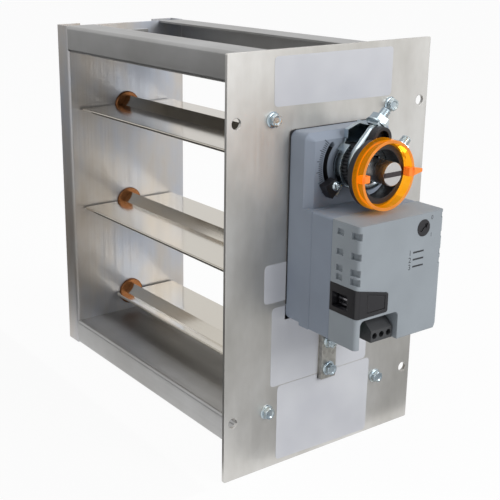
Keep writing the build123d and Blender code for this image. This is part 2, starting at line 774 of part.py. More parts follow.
# ================================================================ service socket and release button
button_left_y = -25.2
button_right_y = -11.5
button_drops = (40.0, 43.1, 51.0)
button_travel = 2.0
button_gap = 0.15
button_depth = 4.0
socket_inset = 2.2
socket_width = 12.3
socket_drop = 50.8
socket_height = 9.1
socket_depth = 6.0
socket_rim = 1.0
surround_front_corner = 2.6
button_edge = 0.5
contact_count = 3
contact_width = 1.1
contact_length = 1.5
surround_front_x = cover_depth + surround_proud
socket_left_x = middle_depth + socket_inset
socket_bottom_z = block_top_z - socket_drop
button_top_z, button_right_z, button_bottom_z = (block_top_z - drop for drop in button_drops)
button_points = [(button_left_y, button_bottom_z), (button_right_y, button_bottom_z),
                 (button_right_y, button_right_z), (button_left_y, button_top_z)]
with BuildPart() as corner_surround:
    with BuildSketch(Plane.YZ.offset(middle_depth + layer_gap)) as surround_outline:
        with BuildLine():
            Polyline(*surround_points, close=True)
        make_face()
        fillet(surround_outline.vertices().group_by(Axis.X)[-1], surround_corner)
    extrude(amount=surround_front_x - middle_depth - layer_gap)
    outer_corner = corner_surround.edges().filter_by(Axis.Z).group_by(Axis.X)[-1].group_by(Axis.Y)[0]
    fillet(outer_corner, surround_front_corner)
    with BuildSketch(Plane.YZ.offset(surround_front_x)):
        with BuildLine():
            Polyline(*button_points, close=True)
        make_face()
        offset(amount=button_gap)
    extrude(amount=-(button_depth + button_travel + layer_gap), mode=Mode.SUBTRACT)
    with BuildSketch(Plane.XZ.offset(case_half)):
        with Locations((socket_left_x, socket_bottom_z)):
            Rectangle(socket_width, socket_height, align=(Align.MIN, Align.MIN))
    extrude(amount=-socket_depth, mode=Mode.SUBTRACT)
corner_surround.part.label = "corner_surround"
export_step(corner_surround.part, "parts/corner_surround.step")

with BuildPart() as service_contacts:
    with BuildSketch(Plane.XZ.offset(case_half - socket_depth)):
        with Locations((socket_left_x + socket_width / 2, socket_bottom_z + socket_height / 2)):
            with GridLocations(0, socket_height / contact_count, 1, contact_count):
                Rectangle(socket_width - 2 * socket_rim, contact_width)
    extrude(amount=contact_length)
service_contacts.part.label = "service_contacts"
export_step(service_contacts.part, "parts/service_contacts.step")

with BuildPart() as release_button:
    with BuildSketch(Plane.YZ.offset(surround_front_x)):
        with BuildLine():
            Polyline(*button_points, close=True)
        make_face()
    extrude(amount=-button_depth)
    fillet(release_button.faces().sort_by(Axis.X)[-1].edges(), button_edge)
release_button.part.label = "release_button"
export_step(release_button.part, "parts/release_button.step")

# ================================================================ direction dial
dial_proud = 0.2
dial_flange = 1.6
dial_flange_height = 1.2
dial_stem_dia = 6.0
arrow_angle = 38.0
arrow_length = 6.4
arrow_width = 1.3
arrow_head_radius = 1.9
arrow_depth = 0.9
dial_back_x = cover_depth - cover_wall - layer_gap
stem_back_x = dial_back_x - dial_flange_height


def dial_plane(x, angle=0.0):
    """Plane across the direction dial at x whose X points at angle from +Y towards +Z."""
    direction = (0, cos(radians(angle)), sin(radians(angle)))
    return Plane(origin=(x, dial_y, dial_z), x_dir=direction, z_dir=(1, 0, 0))


with BuildPart() as direction_dial:
    with BuildSketch(dial_plane(dial_back_x)):
        Circle(dial_dia / 2)
    extrude(amount=cover_depth + dial_proud - dial_back_x)
    with BuildSketch(dial_plane(dial_back_x)):
        Circle(dial_dia / 2 + dial_flange)
    extrude(amount=-dial_flange_height)
    with BuildSketch(dial_plane(stem_back_x)):
        Circle(dial_stem_dia / 2)
    extrude(amount=board_front_x + layer_gap - stem_back_x)
    with BuildSketch(dial_plane(cover_depth + dial_proud, arrow_angle)):
        Rectangle(arrow_length, arrow_width)
        with Locations((arrow_length / 2 - arrow_head_radius / 2, 0)):
            RegularPolygon(arrow_head_radius, 3)
    extrude(amount=-arrow_depth, mode=Mode.SUBTRACT)
direction_dial.part.label = "direction_dial"
export_step(direction_dial.part, "parts/direction_dial.step")

# ================================================================ terminal block
terminal_left_y = -17.5
terminal_length = 16.5
terminal_pitch = 5.45
terminal_count = 3
terminal_height = 12.3
terminal_edge = 6.8
terminal_lift = 0.5
terminal_step = 2.3
terminal_slope_run = 4.4
terminal_inset = 3.0
terminal_hole_dia = 3.7
terminal_hole_rise = 3.6
terminal_hole_depth = 7.0
terminal_bottom_z = actuator_bottom_z + terminal_lift
terminal_top_z = terminal_bottom_z + terminal_height
terminal_edge_z = terminal_bottom_z + terminal_edge
terminal_step_z = terminal_bottom_z + terminal_step
terminal_hole_z = terminal_bottom_z + terminal_hole_rise
terminal_back_x = well_floor_x + layer_gap
terminal_slope_x = board_front_x + terminal_slope_run
terminal_front_x = cover_depth - terminal_inset
with BuildPart() as terminal_block:
    with BuildSketch(Plane.XZ.offset(-terminal_left_y)):
        with BuildLine():
            Polyline((board_front_x, terminal_top_z), (terminal_slope_x, terminal_top_z),
                     (terminal_front_x, terminal_edge_z), (terminal_front_x, terminal_bottom_z),
                     (terminal_back_x, terminal_bottom_z), (terminal_back_x, terminal_step_z),
                     (board_front_x, terminal_step_z), close=True)
        make_face()
    extrude(amount=-terminal_length)
    with Locations(Plane(origin=(terminal_front_x, terminal_left_y + terminal_length / 2, terminal_hole_z),
                         x_dir=(0, 1, 0), z_dir=(1, 0, 0))):
        with GridLocations(terminal_pitch, 0, terminal_count, 1):
            Hole(terminal_hole_dia / 2, depth=terminal_hole_depth)
terminal_block.part.label = "terminal_block"
export_step(terminal_block.part, "parts/terminal_block.step")

# ================================================================ spindle driver
spline_front_x = thin_depth + spline_height
tooth_radius = 1.0
tooth_offset = 0.35
with BuildPart() as spindle_driver:
    with BuildSketch(shaft_plane(layer_gap)):
        Circle(driver_dia / 2)
    extrude(amount=thin_depth - driver_roof - 2 * layer_gap)
    with BuildSketch(shaft_plane(layer_gap)):
        Circle(spline_dia / 2)
        with PolarLocations(spline_dia / 2 + tooth_offset, spline_teeth):
            RegularPolygon(tooth_radius, 4, mode=Mode.SUBTRACT)
    extrude(amount=spline_front_x - layer_gap)
    with Locations(shaft_plane(0)):
        Hole(driver_bore / 2, depth=2 * spline_front_x)
spindle_driver.part.label = "spindle_driver"
export_step(spindle_driver.part, "parts/spindle_driver.step")

# ================================================================ shaft clamp
tongue_root = band_inner + clamp_wall / 2
tongue_root_half = tongue_root * tan(radians(tongue_half_angle))
tongue_tip_half = tongue_reach * tan(radians(tongue_half_angle))
with BuildPart() as clamp_bracket:
    with BuildSketch(clamp_plane(band_back_x)):
        Circle(band_outer)
        Circle(band_inner, mode=Mode.SUBTRACT)
        Rectangle(2 * band_outer, 2 * band_outer, align=(Align.MIN, Align.CENTER), mode=Mode.SUBTRACT)
    extrude(amount=band_front_x - band_back_x)
    with BuildSketch(clamp_plane(clamp_back_x)):
        with Locations((-clamp_wall / 2, band_inner)):
            Rectangle(band_run + clamp_wall / 2, clamp_wall, align=(Align.MIN, Align.MIN))
    extrude(amount=band_front_x - clamp_back_x)
    with BuildSketch(clamp_plane(band_back_x)):
        with Locations((-clamp_wall / 2, -band_inner)):
            Rectangle(wall_run + clamp_wall / 2, clamp_wall, align=(Align.MIN, Align.MAX))
    extrude(amount=clamp_shelf_x - band_back_x)
    with BuildSketch(clamp_plane(clamp_step_x)):
        with Locations((0, -band_inner)):
            Rectangle(clamp_back_s, clamp_wall, align=(Align.MIN, Align.MAX))
    extrude(amount=clamp_shelf_x - clamp_step_x)
    with BuildSketch(clamp_plane(clamp_back_x)):
        with BuildLine():
            Polyline(*flare_points, (clamp_back_s, floor_near_n), (clamp_back_s, -floor_far_n),
                     (band_inner, -floor_far_n), close=True)
        make_face()
        Circle(spline_dia / 2 + spline_gap, mode=Mode.SUBTRACT)
    extrude(amount=clamp_floor)
    with BuildSketch(clamp_plane(clamp_back_x)):
        with BuildLine():
            Polyline(*flare_points[1:], (clamp_back_s + clamp_plate / 2, floor_near_n - clamp_rim_thickness))
        trace(line_width=clamp_rim_thickness)
    extrude(amount=clamp_rim_height)
    with BuildSketch(clamp_plane(clamp_back_x)):
        with Locations((clamp_back_s, -floor_far_n)):
            Rectangle(clamp_plate, floor_near_n + floor_far_n, align=(Align.MIN, Align.MIN))
    extrude(amount=clamp_shelf_x - clamp_back_x)
    with BuildSketch(clamp_plane(clamp_step_x)):
        with Locations((clamp_back_s, 0)):
            Rectangle(clamp_plate, 2 * band_outer, align=(Align.MIN, Align.CENTER))
    extrude(amount=clamp_shelf_x - clamp_step_x)
    with BuildSketch(clamp_plane(clamp_shelf_x)):
        with Locations((clamp_back_s, 0)):
            Rectangle(clamp_plate, 2 * shelf_half_n, align=(Align.MIN, Align.CENTER))
    extrude(amount=clamp_front_x - clamp_shelf_x)
    with BuildSketch(turned_plane(band_back_x, tongue_angle)):
        with BuildLine():
            Polyline((tongue_root, -tongue_root_half), (tongue_reach, -tongue_tip_half),
                     (tongue_reach, tongue_tip_half), (tongue_root, tongue_root_half), close=True)
        make_face()
    extrude(amount=tongue_thickness)
    for side in (-1, 1):
        with Locations(leg_plane(clamp_shelf_s, side)):
            Hole(u_bolt_dia / 2 + leg_hole_gap, depth=2 * clamp_plate)
clamp_bracket.part.label = "clamp_bracket"
export_step(clamp_bracket.part, "parts/clamp_bracket.step")

u_arc_radius = u_bolt_spacing / 2
u_arc_s = u_arc_radius - u_bolt_dia / 2 - drive_dia / 2
with BuildPart() as u_bolt:
    with BuildLine(clamp_plane(u_bolt_plane_x)):
        first_leg = Line((u_bolt_reach, -u_arc_radius), (u_arc_s, -u_arc_radius))
        ThreePointArc((u_arc_s, -u_arc_radius), (u_arc_s - u_arc_radius, 0), (u_arc_s, u_arc_radius))
        Line((u_arc_s, u_arc_radius), (u_bolt_reach, u_arc_radius))
    with BuildSketch(Plane(origin=first_leg @ 0, z_dir=first_leg % 0)):
        Circle(u_bolt_dia / 2)
    sweep()
u_bolt.part.label = "u_bolt"
export_step(u_bolt.part, "parts/u_bolt.step")

with BuildPart() as clamp_nuts:
    for side in (-1, 1):
        with BuildSketch(leg_plane(clamp_shelf_s, side)):
            Circle(nut_flange_dia / 2)
        extrude(amount=nut_flange_height, taper=flange_taper)
        with BuildSketch(leg_plane(clamp_shelf_s, side)):
            RegularPolygon(nut_flats / 2, 6, major_radius=False)
        extrude(amount=nut_height)
        with Locations(leg_plane(clamp_shelf_s, side)):
            Hole(u_bolt_dia / 2 + nut_bore_gap, depth=2 * nut_height)
clamp_nuts.part.label = "clamp_nuts"
export_step(clamp_nuts.part, "parts/clamp_nuts.step")

jaw_width = u_bolt_spacing - u_bolt_dia - 2 * jaw_side_gap
jaw_apex = drive_dia / 2 * sqrt(2) + jaw_gap
jaw_open = jaw_apex - jaw_front_s
with BuildPart() as clamp_jaw:
    with BuildSketch(clamp_plane(clamp_shelf_x + layer_gap)):
        with BuildLine():
            Polyline((clamp_back_s, -jaw_width / 2), (clamp_back_s, jaw_width / 2),
                     (jaw_front_s, jaw_width / 2), (jaw_front_s, jaw_open), (jaw_apex, 0),
                     (jaw_front_s, -jaw_open), (jaw_front_s, -jaw_width / 2), close=True)
        make_face()
    extrude(amount=u_bolt_dia - 2 * layer_gap)
clamp_jaw.part.label = "clamp_jaw"
export_step(clamp_jaw.part, "parts/clamp_jaw.step")

# ================================================================ position indicator
ear_y = ear_place_radius * cos(radians(ear_angle))
ear_z = ear_place_radius * sin(radians(ear_angle))
with BuildPart() as indicator_collar:
    with BuildSketch(indicator_plane(collar_back_x)):
        Circle(collar_bore / 2 + collar_wall)
    extrude(amount=collar_rim_x - collar_back_x)
    with BuildSketch(indicator_plane(collar_rim_x)):
        Circle(collar_dia / 2)
    extrude(amount=ring_back_x - collar_rim_x)
    with BuildSketch(indicator_plane(ear_back_x)):
        with Locations((ear_y, ear_z)):
            Circle(ear_radius)
    extrude(amount=ring_back_x - ear_back_x)
    with BuildSketch(indicator_plane(ring_back_x)):
        Circle(ring_bore / 2 - collar_spigot_gap)
    extrude(amount=collar_spigot)
    with Locations(indicator_plane(ring_back_x)):
        Hole(collar_bore / 2, depth=2 * shaft_end_x)
    with BuildSketch(indicator_plane(ring_back_x)):
        with Locations((ear_y, ear_z)):
            Circle(ear_radius - ear_wall)
        Circle(ring_dia / 2, mode=Mode.SUBTRACT)
    extrude(amount=-ear_pocket, mode=Mode.SUBTRACT)
indicator_collar.part.label = "indicator_collar"
export_step(indicator_collar.part, "parts/indicator_collar.step")

tab_width = 4.0
tab_depth = 3.2
wide_tab_width = 5.0
wide_tab_depth = 1.8
tab_overlap = 0.3
pointer_root = ring_bore / 2 + 2.0
with BuildPart() as indicator_ring:
    with BuildSketch(indicator_plane(ring_back_x)):
        Circle(ring_dia / 2)
        Circle(ring_bore / 2, mode=Mode.SUBTRACT)
    extrude(amount=ring_front_x - ring_back_x)
    with BuildSketch(indicator_plane(ring_back_x)):
        Circle(ring_dia / 2 + ring_foot)
        Circle(ring_bore / 2, mode=Mode.SUBTRACT)
    extrude(amount=ring_foot_height)
    with BuildSketch(indicator_plane(pointer_back_x)):
        with BuildLine():
            Polyline((pointer_root, -pointer_root_half), (pointer_reach, -pointer_tip_half),
                     (pointer_reach, pointer_tip_half), (pointer_root, pointer_root_half), close=True)
        make_face()
    extrude(amount=ring_front_x - pointer_back_x)
    with BuildSketch(indicator_plane(ring_tab_x)):
        with Locations((-ring_bore / 2 - tab_overlap, 0)):
            Rectangle(tab_depth, tab_width, align=(Align.MIN, Align.CENTER))
        with Locations((ring_bore / 2 + tab_overlap, 0)):
            Rectangle(wide_tab_depth, wide_tab_width, align=(Align.MAX, Align.CENTER))
    extrude(amount=ring_front_x - ring_tab_x)
indicator_ring.part.label = "indicator_ring"
export_step(indicator_ring.part, "parts/indicator_ring.step")

# ================================================================ end stops
sector_reach = 2 * stop_outer_radius
sector_x = sector_reach * cos(radians(stop_half_angle))
sector_y = sector_reach * sin(radians(stop_half_angle))
stop_back_x = thin_depth + layer_gap
stop_front_x = stop_back_x + stop_height
for side, angle in (("left", left_stop_angle), ("right", right_stop_angle)):
    with BuildPart() as end_stop:
        with BuildSketch(turned_plane(stop_back_x, angle)):
            Circle(stop_outer_radius)
            Circle(stop_inner_radius, mode=Mode.SUBTRACT)
            with BuildLine():
                Polyline((0, 0), (sector_x, sector_y), (sector_x, -sector_y), close=True)
            make_face(mode=Mode.INTERSECT)
        extrude(amount=stop_height)
        with Locations(turned_plane(stop_front_x, angle)):
            with Locations((slot_radius, 0)):
                Hole(stop_screw_dia / 2, depth=2 * stop_height)
    end_stop.part.label = f"{side}_end_stop"
    export_step(end_stop.part, f"parts/{side}_end_stop.step")

    with BuildPart() as stop_screw:
        with BuildSketch(turned_plane(stop_front_x, angle)):
            with Locations((slot_radius, 0)):
                Circle(stop_screw_head_dia / 2)
        extrude(amount=stop_screw_head, taper=swage_taper)
        with BuildSketch(turned_plane(stop_front_x, angle)):
            with Locations((slot_radius, 0)):
                Circle(stop_screw_dia / 2)
        extrude(amount=-(stop_height + layer_gap + stop_screw_reach))
    stop_screw.part.label = f"{side}_stop_screw"
    export_step(stop_screw.part, f"parts/{side}_stop_screw.step")
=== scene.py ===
# %% [markdown]
# # Volume control damper
# A damper plugs into the side of an air duct and throttles the air with three blades. An actuator on the
# outside turns them, clamped to the upper blade's shaft.
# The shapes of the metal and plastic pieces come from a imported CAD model, which is the frame. This script
# adds what a CAD model leaves out: finishes, threads, stickers, screw recesses and light.
# %% Load the frame
from math import cos, pi, radians, sin, sqrt, tau

import bmesh
import bpy
from mathutils import Matrix, Vector


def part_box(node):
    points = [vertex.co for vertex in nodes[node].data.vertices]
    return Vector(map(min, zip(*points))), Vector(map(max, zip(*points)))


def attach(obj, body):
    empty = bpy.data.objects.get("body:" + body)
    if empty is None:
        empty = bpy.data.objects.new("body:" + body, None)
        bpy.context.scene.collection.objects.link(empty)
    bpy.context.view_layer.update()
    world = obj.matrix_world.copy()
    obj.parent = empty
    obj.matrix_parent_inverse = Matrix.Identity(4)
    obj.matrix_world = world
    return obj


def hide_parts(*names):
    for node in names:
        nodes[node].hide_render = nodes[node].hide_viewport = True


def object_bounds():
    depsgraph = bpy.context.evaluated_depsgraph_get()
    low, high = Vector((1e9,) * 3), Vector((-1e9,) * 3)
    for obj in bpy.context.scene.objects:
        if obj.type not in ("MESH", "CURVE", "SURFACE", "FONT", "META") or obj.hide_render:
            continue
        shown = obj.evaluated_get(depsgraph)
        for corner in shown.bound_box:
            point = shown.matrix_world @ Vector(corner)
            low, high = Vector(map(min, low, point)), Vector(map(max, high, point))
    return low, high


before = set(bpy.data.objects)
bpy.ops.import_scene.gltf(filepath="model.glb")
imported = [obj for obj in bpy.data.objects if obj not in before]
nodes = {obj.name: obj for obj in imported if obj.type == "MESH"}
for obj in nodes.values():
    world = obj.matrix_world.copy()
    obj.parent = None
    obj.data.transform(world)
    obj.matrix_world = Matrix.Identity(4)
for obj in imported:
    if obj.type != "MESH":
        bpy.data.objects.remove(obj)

cad_low, cad_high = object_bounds()

# %% [markdown]
# ## Camera
# A damper is shown from the duct's front corner, a little above, so that both the blades and the actuator
# are seen. A camera could be aimed with a constraint, but its three axes worked out from two angles and a
# roll say exactly how it stands, and they need nothing else in the file.


# %% Work out the camera's axes
def camera_axes(azimuth, elevation, roll):
    """The camera's right, up and backward directions."""
    back = Vector((sin(azimuth) * cos(elevation), -cos(azimuth) * cos(elevation), sin(elevation)))
    right = Vector((cos(azimuth), sin(azimuth), 0))
    up = back.cross(right)
    turned_right = right * cos(roll) + up * sin(roll)
    turned_up = up * cos(roll) - right * sin(roll)
    return turned_right, turned_up, back


camera_azimuth = radians(55.87)
camera_elevation = radians(16.86)
camera_roll = radians(-0.19)
camera_turn = Matrix(camera_axes(camera_azimuth, camera_elevation, camera_roll)).transposed().to_4x4()
print("camera looks along", [round(-part, 3) for part in camera_turn.col[2][:3]])

# %% [markdown]
# The lens is a mild telephoto, because a long lens keeps the casing's edges nearly parallel. The small
# shift keeps the whole object in the frame while the lens stays level with it. The place is written in
# heights of the cover plate, so that the camera steps back from a larger damper.
# %% Place the camera
plate_low, plate_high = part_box("cover_plate")
plate_height = plate_high.z - plate_low.z
camera_place = Vector((1.626, -1.507, 0.733)) * plate_height
camera_data = bpy.data.cameras.new("damper_camera")
camera = bpy.data.objects.new("damper_camera", camera_data)
bpy.context.scene.collection.objects.link(camera)
camera.matrix_world = Matrix.Translation(camera_place) @ camera_turn
camera_data.sensor_width = 36
camera_data.lens = 70.3
camera_data.shift_x = 0.1276
camera_data.shift_y = -0.038
camera_data.clip_start = 0.02
bpy.context.scene.camera = camera
print("camera stands", round(camera_place.length, 3), "m from the cover plate")

# %% [markdown]
# ## Floor and backdrop
# Bright metal shows what stands around it, so the room matters as much as the lamps. A pale floor carries
# the shadow, and it has to look white to the camera and in the metal. More light would do that, but it
# would bleach the object too. So the floor asks who looks at it: the camera, a mirror or a pane of
# coloured plastic sees a glowing white, and everything else sees plain paint.


# %% Tell who looks at a surface
def seen_by_eye(shader_nodes, shader_links):
    """1 where the camera looks, straight on, by a mirror or through plastic, and 0 elsewhere."""
    path = shader_nodes.new("ShaderNodeLightPath")
    mirrored = shader_nodes.new("ShaderNodeMath")
    mirrored.operation = "MAXIMUM"
    through = shader_nodes.new("ShaderNodeMath")
    through.operation = "MAXIMUM"
    shader_links.new(path.outputs["Is Camera Ray"], mirrored.inputs[0])
    shader_links.new(path.outputs["Is Glossy Ray"], mirrored.inputs[1])
    shader_links.new(mirrored.outputs[0], through.inputs[0])
    shader_links.new(path.outputs["Is Transmission Ray"], through.inputs[1])
    return through.outputs[0]


print("light path helper ready")

# %% Mix the floor's white
floor_material = bpy.data.materials.new("pale_floor")
floor_material.use_nodes = True
floor_nodes = floor_material.node_tree.nodes
floor_links = floor_material.node_tree.links
floor_nodes.clear()
white_share = floor_nodes.new("ShaderNodeMath")
white_share.operation = "MULTIPLY"
white_share.inputs[1].default_value = 0.95
painted = floor_nodes.new("ShaderNodeBsdfDiffuse")
painted.inputs["Color"].default_value = (0.86, 0.86, 0.86, 1)
glowing = floor_nodes.new("ShaderNodeEmission")
glowing.inputs["Color"].default_value = (1, 1, 1, 1)
glowing.inputs["Strength"].default_value = 1.0
floor_mix = floor_nodes.new("ShaderNodeMixShader")
floor_output = floor_nodes.new("ShaderNodeOutputMaterial")
floor_links.new(seen_by_eye(floor_nodes, floor_links), white_share.inputs[0])
floor_links.new(white_share.outputs[0], floor_mix.inputs["Fac"])
floor_links.new(painted.outputs[0], floor_mix.inputs[1])
floor_links.new(glowing.outputs[0], floor_mix.inputs[2])
floor_links.new(floor_mix.outputs[0], floor_output.inputs["Surface"])
print("floor nodes:", len(floor_nodes))

# %% Lay the floor
floor_gap = 0.0002
floor_half = 30.0
floor_height = cad_low.z - floor_gap


def flat_sheet(name, corners, material):
    """A flat piece with the given corners, linked to the scene."""
    mesh = bpy.data.meshes.new(name)
    mesh.from_pydata(corners, [], [tuple(range(len(corners)))])
    mesh.materials.append(material)
    sheet = bpy.data.objects.new(name, mesh)
    bpy.context.scene.collection.objects.link(sheet)
    return sheet


def rectangle_on_floor(low_x, low_y, high_x, high_y, lift):
    """Corners of a rectangle that lies lift above the floor."""
    height = floor_height + lift
    return [(low_x, low_y, height), (high_x, low_y, height),
            (high_x, high_y, height), (low_x, high_y, height)]


flat_sheet("floor", rectangle_on_floor(-floor_half, -floor_half, floor_half, floor_half, 0), floor_material)
print("floor lies at", round(1000 * floor_height, 1), "mm")

# %% [markdown]
# ## Dark mats
# In a studio, dark cloths lie outside the picture to put tone into bright metal. Two mats do that here:
# one before the air opening, which the flanges mirror, and one beside the cover plate. The camera doesn't
# see them and they cast no shadow, so only the metal knows that they are there.


# %% Lay the dark mats
def cloth(name, grey):
    """A plain cloth of one grey."""
    material = bpy.data.materials.new(name)
    material.use_nodes = True
    material.node_tree.nodes.clear()
    dyed = material.node_tree.nodes.new("ShaderNodeBsdfDiffuse")
    dyed.inputs["Color"].default_value = (grey, grey, grey, 1)
    output = material.node_tree.nodes.new("ShaderNodeOutputMaterial")
    material.node_tree.links.new(dyed.outputs[0], output.inputs["Surface"])
    return material


mat_lift = 0.001
front_mat_corners = rectangle_on_floor(-2.6, -1.9, 0.0, -0.09, mat_lift)
plate_mat_corners = rectangle_on_floor(0.01, -0.05, 0.6, 0.8, mat_lift)
front_mat = flat_sheet("front_mat", front_mat_corners, cloth("dark_cloth", 0.11))
plate_mat = flat_sheet("plate_mat", plate_mat_corners, cloth("grey_cloth", 0.62))
for mat in (front_mat, plate_mat):
    mat.visible_camera = False
    mat.visible_shadow = False
plate_mat.visible_diffuse = False
print("mats:", front_mat.name, plate_mat.name)

# %% [markdown]
# ## World
# The world fills the shadows. It works like the floor: white to the camera and in the metal, and a much
# weaker, slightly cool light for everything else, so that the lamps still shape the object.
# %% Set the world behind the object
world = bpy.data.worlds.new("studio")
bpy.context.scene.world = world
world.use_nodes = True
sky_nodes = world.node_tree.nodes
sky_links = world.node_tree.links
sky_nodes.clear()
sky_white = sky_nodes.new("ShaderNodeBackground")
sky_white.inputs["Strength"].default_value = 1.0
sky_light = sky_nodes.new("ShaderNodeBackground")
sky_light.inputs["Color"].default_value = (0.96, 0.98, 1.0, 1)
sky_light.inputs["Strength"].default_value = 0.38
sky_mix = sky_nodes.new("ShaderNodeMixShader")
sky_output = sky_nodes.new("ShaderNodeOutputWorld")
sky_links.new(seen_by_eye(sky_nodes, sky_links), sky_mix.inputs["Fac"])
sky_links.new(sky_light.outputs[0], sky_mix.inputs[1])
sky_links.new(sky_white.outputs[0], sky_mix.inputs[2])
sky_links.new(sky_mix.outputs[0], sky_output.inputs["Surface"])
bpy.context.scene.view_settings.view_transform = "Standard"
print("world light", round(sky_light.inputs["Strength"].default_value, 2))

# %% [markdown]
# ## Lamps
# Three large lamps stand in for studio soft boxes: one beyond the cover plate, one above, and a weak one in
# front. Small lamps would give hard shadows and a white dot in every curve, and large ones draw the long
# soft highlights that make sheet metal look like sheet metal.


# %% Hang the lamps
def soft_box(name, place, aim, width, power):
    """A square area lamp at place, turned to face aim."""
    lamp_data = bpy.data.lights.new(name, "AREA")
    lamp_data.size = width
    lamp_data.energy = power
    lamp = bpy.data.objects.new(name, lamp_data)
    bpy.context.scene.collection.objects.link(lamp)
    lamp.location = place
    lamp.rotation_euler = (Vector(aim) - Vector(place)).to_track_quat("-Z", "Y").to_euler()
    return lamp


soft_box("plate_side_lamp", place=(1.5, 0.6, 0.9), aim=(0, 0, 0), width=0.9, power=18)
soft_box("top_lamp", place=(0.1, -0.4, 1.7), aim=(-0.1, 0, 0), width=1.2, power=7.5)
soft_box("front_lamp", place=(0.1, -1.8, 0.5), aim=(-0.1, 0, 0), width=1.0, power=1.5)

# %% [markdown]
# ## How the finishes are made
# Each finish is a Principled shader with a few procedural textures in object space. Pictures of metal
# could be wrapped round the pieces instead, but they would need seams, and a procedural finish has none.
# The object space of a CAD piece is in metres, so a brushing of 0.3 mm is written as 0.0003. The class
# below makes the shader, so that a finish reads as a short list of steps.


# %% Describe a finish
class Finish:
    """A material with a Principled shader and object-space coordinates."""

    def __init__(self, name, color, metallic, roughness):
        self.material = bpy.data.materials.new(name)
        self.material.use_nodes = True
        self.material.diffuse_color = (*color, 1)
        self.nodes = self.material.node_tree.nodes
        self.links = self.material.node_tree.links
        self.shader = self.nodes["Principled BSDF"]
        self.shader.inputs["Base Color"].default_value = (*color, 1)
        self.shader.inputs["Metallic"].default_value = metallic
        self.shader.inputs["Roughness"].default_value = roughness
        self.place = self.nodes.new("ShaderNodeTexCoord").outputs["Object"]

    def stretched(self, x, y, z):
        """Coordinates scaled by cycles per metre along each axis."""
        mapping = self.nodes.new("ShaderNodeMapping")
        mapping.inputs["Scale"].default_value = (x, y, z)
        self.links.new(self.place, mapping.inputs["Vector"])
        return mapping.outputs["Vector"]

    def noise(self, place, detail=2.0, roughness=0.5):
        """Soft noise from 0 to 1."""
        texture = self.nodes.new("ShaderNodeTexNoise")
        texture.inputs["Scale"].default_value = 1.0
        texture.inputs["Detail"].default_value = detail
        texture.inputs["Roughness"].default_value = roughness
        self.links.new(place, texture.inputs["Vector"])
        return texture.outputs["Fac"]

    def spangle(self, place):
        """The crystal pattern of zinc: one grey per cell."""
        texture = self.nodes.new("ShaderNodeTexVoronoi")
        texture.inputs["Scale"].default_value = 1.0
        self.links.new(place, texture.inputs["Vector"])
        grey = self.nodes.new("ShaderNodeSeparateColor")
        self.links.new(texture.outputs["Color"], grey.inputs["Color"])
        return grey.outputs["Red"]

    def tint(self, value, *stops):
        """Colour by value: stops are (position, colour)."""
        ramp = self.nodes.new("ShaderNodeValToRGB")
        while len(ramp.color_ramp.elements) < len(stops):
            ramp.color_ramp.elements.new(0.5)
        for element, (position, color) in zip(ramp.color_ramp.elements, stops):
            element.position = position
            element.color = (*color, 1)
        self.links.new(value, ramp.inputs["Fac"])
        self.links.new(ramp.outputs["Color"], self.shader.inputs["Base Color"])

    def rough(self, value, low, high):
        """Roughness that follows value from low to high."""
        span = self.nodes.new("ShaderNodeMapRange")
        span.inputs["To Min"].default_value = low
        span.inputs["To Max"].default_value = high
        self.links.new(value, span.inputs["Value"])
        self.links.new(span.outputs["Result"], self.shader.inputs["Roughness"])

    def bump(self, value, height, strength=0.5):
        """Relief: height is the depth of value's full step, in metres."""
        relief = self.nodes.new("ShaderNodeBump")
        relief.inputs["Distance"].default_value = height
        relief.inputs["Strength"].default_value = strength
        self.links.new(value, relief.inputs["Height"])
        if self.shader.inputs["Normal"].is_linked:
            self.links.new(self.shader.inputs["Normal"].links[0].from_socket, relief.inputs["Normal"])
        self.links.new(relief.outputs["Normal"], self.shader.inputs["Normal"])

    def soften_edges(self, radius):
        """Rounds the shading over sharp edges, as a moulding or a bent sheet does."""
        rounding = self.nodes.new("ShaderNodeBevel")
        rounding.samples = 4
        rounding.inputs["Radius"].default_value = radius
        self.links.new(rounding.outputs["Normal"], self.shader.inputs["Normal"])

    def set(self, socket, value):
        """A shader setting that is the same all over."""
        self.shader.inputs[socket].default_value = value


print("finish class ready")


# %% Give colours and finishes to pieces
def from_hex(code):
    """A colour as written for the screen, turned into linear light."""
    channels = [int(code[i:i + 2], 16) / 255 for i in (1, 3, 5)]
    return tuple(c / 12.92 if c < 0.04045 else ((c + 0.055) / 1.055) ** 2.4 for c in channels)


def finish_nodes(finish, *names):
    """Gives CAD pieces this finish."""
    for name in names:
        piece = nodes[name]
        if not piece.data.materials:
            piece.data.materials.append(finish.material)
        for slot in piece.material_slots:
            slot.material = finish.material


print("mid grey in linear light:", round(from_hex("#808080")[0], 3))

# %% [markdown]
# ## Casing
# The casing is rolled sheet, brushed along each channel's height, with faint milky blotches. Anisotropic
# gloss could imitate the brushing, but it shows no single scratch from close by, so the scratches are a
# relief here. Long noise cells stand for them: 5 cycles per metre along the grain, 500 to 700 across it.
# %% Finish the side channels
sheet_edge = 0.0004
casing_sheet = Finish("brushed_casing_sheet", from_hex("#B4B4B3"), 1.0, 0.42)
casing_sheet.soften_edges(sheet_edge)
side_grain = casing_sheet.noise(casing_sheet.stretched(500, 700, 5), detail=3)
blotches = casing_sheet.noise(casing_sheet.stretched(16, 16, 7), detail=4, roughness=0.6)
casing_sheet.tint(blotches, (0.34, from_hex("#B8AEA3")), (0.48, from_hex("#C2BEBA")),
                  (0.64, from_hex("#B8BDC7")))
casing_sheet.rough(side_grain, 0.36, 0.62)
casing_sheet.bump(side_grain, 0.0001, 0.8)
finish_nodes(casing_sheet, "left_side_channel", "right_side_channel")
print("side channels finished")

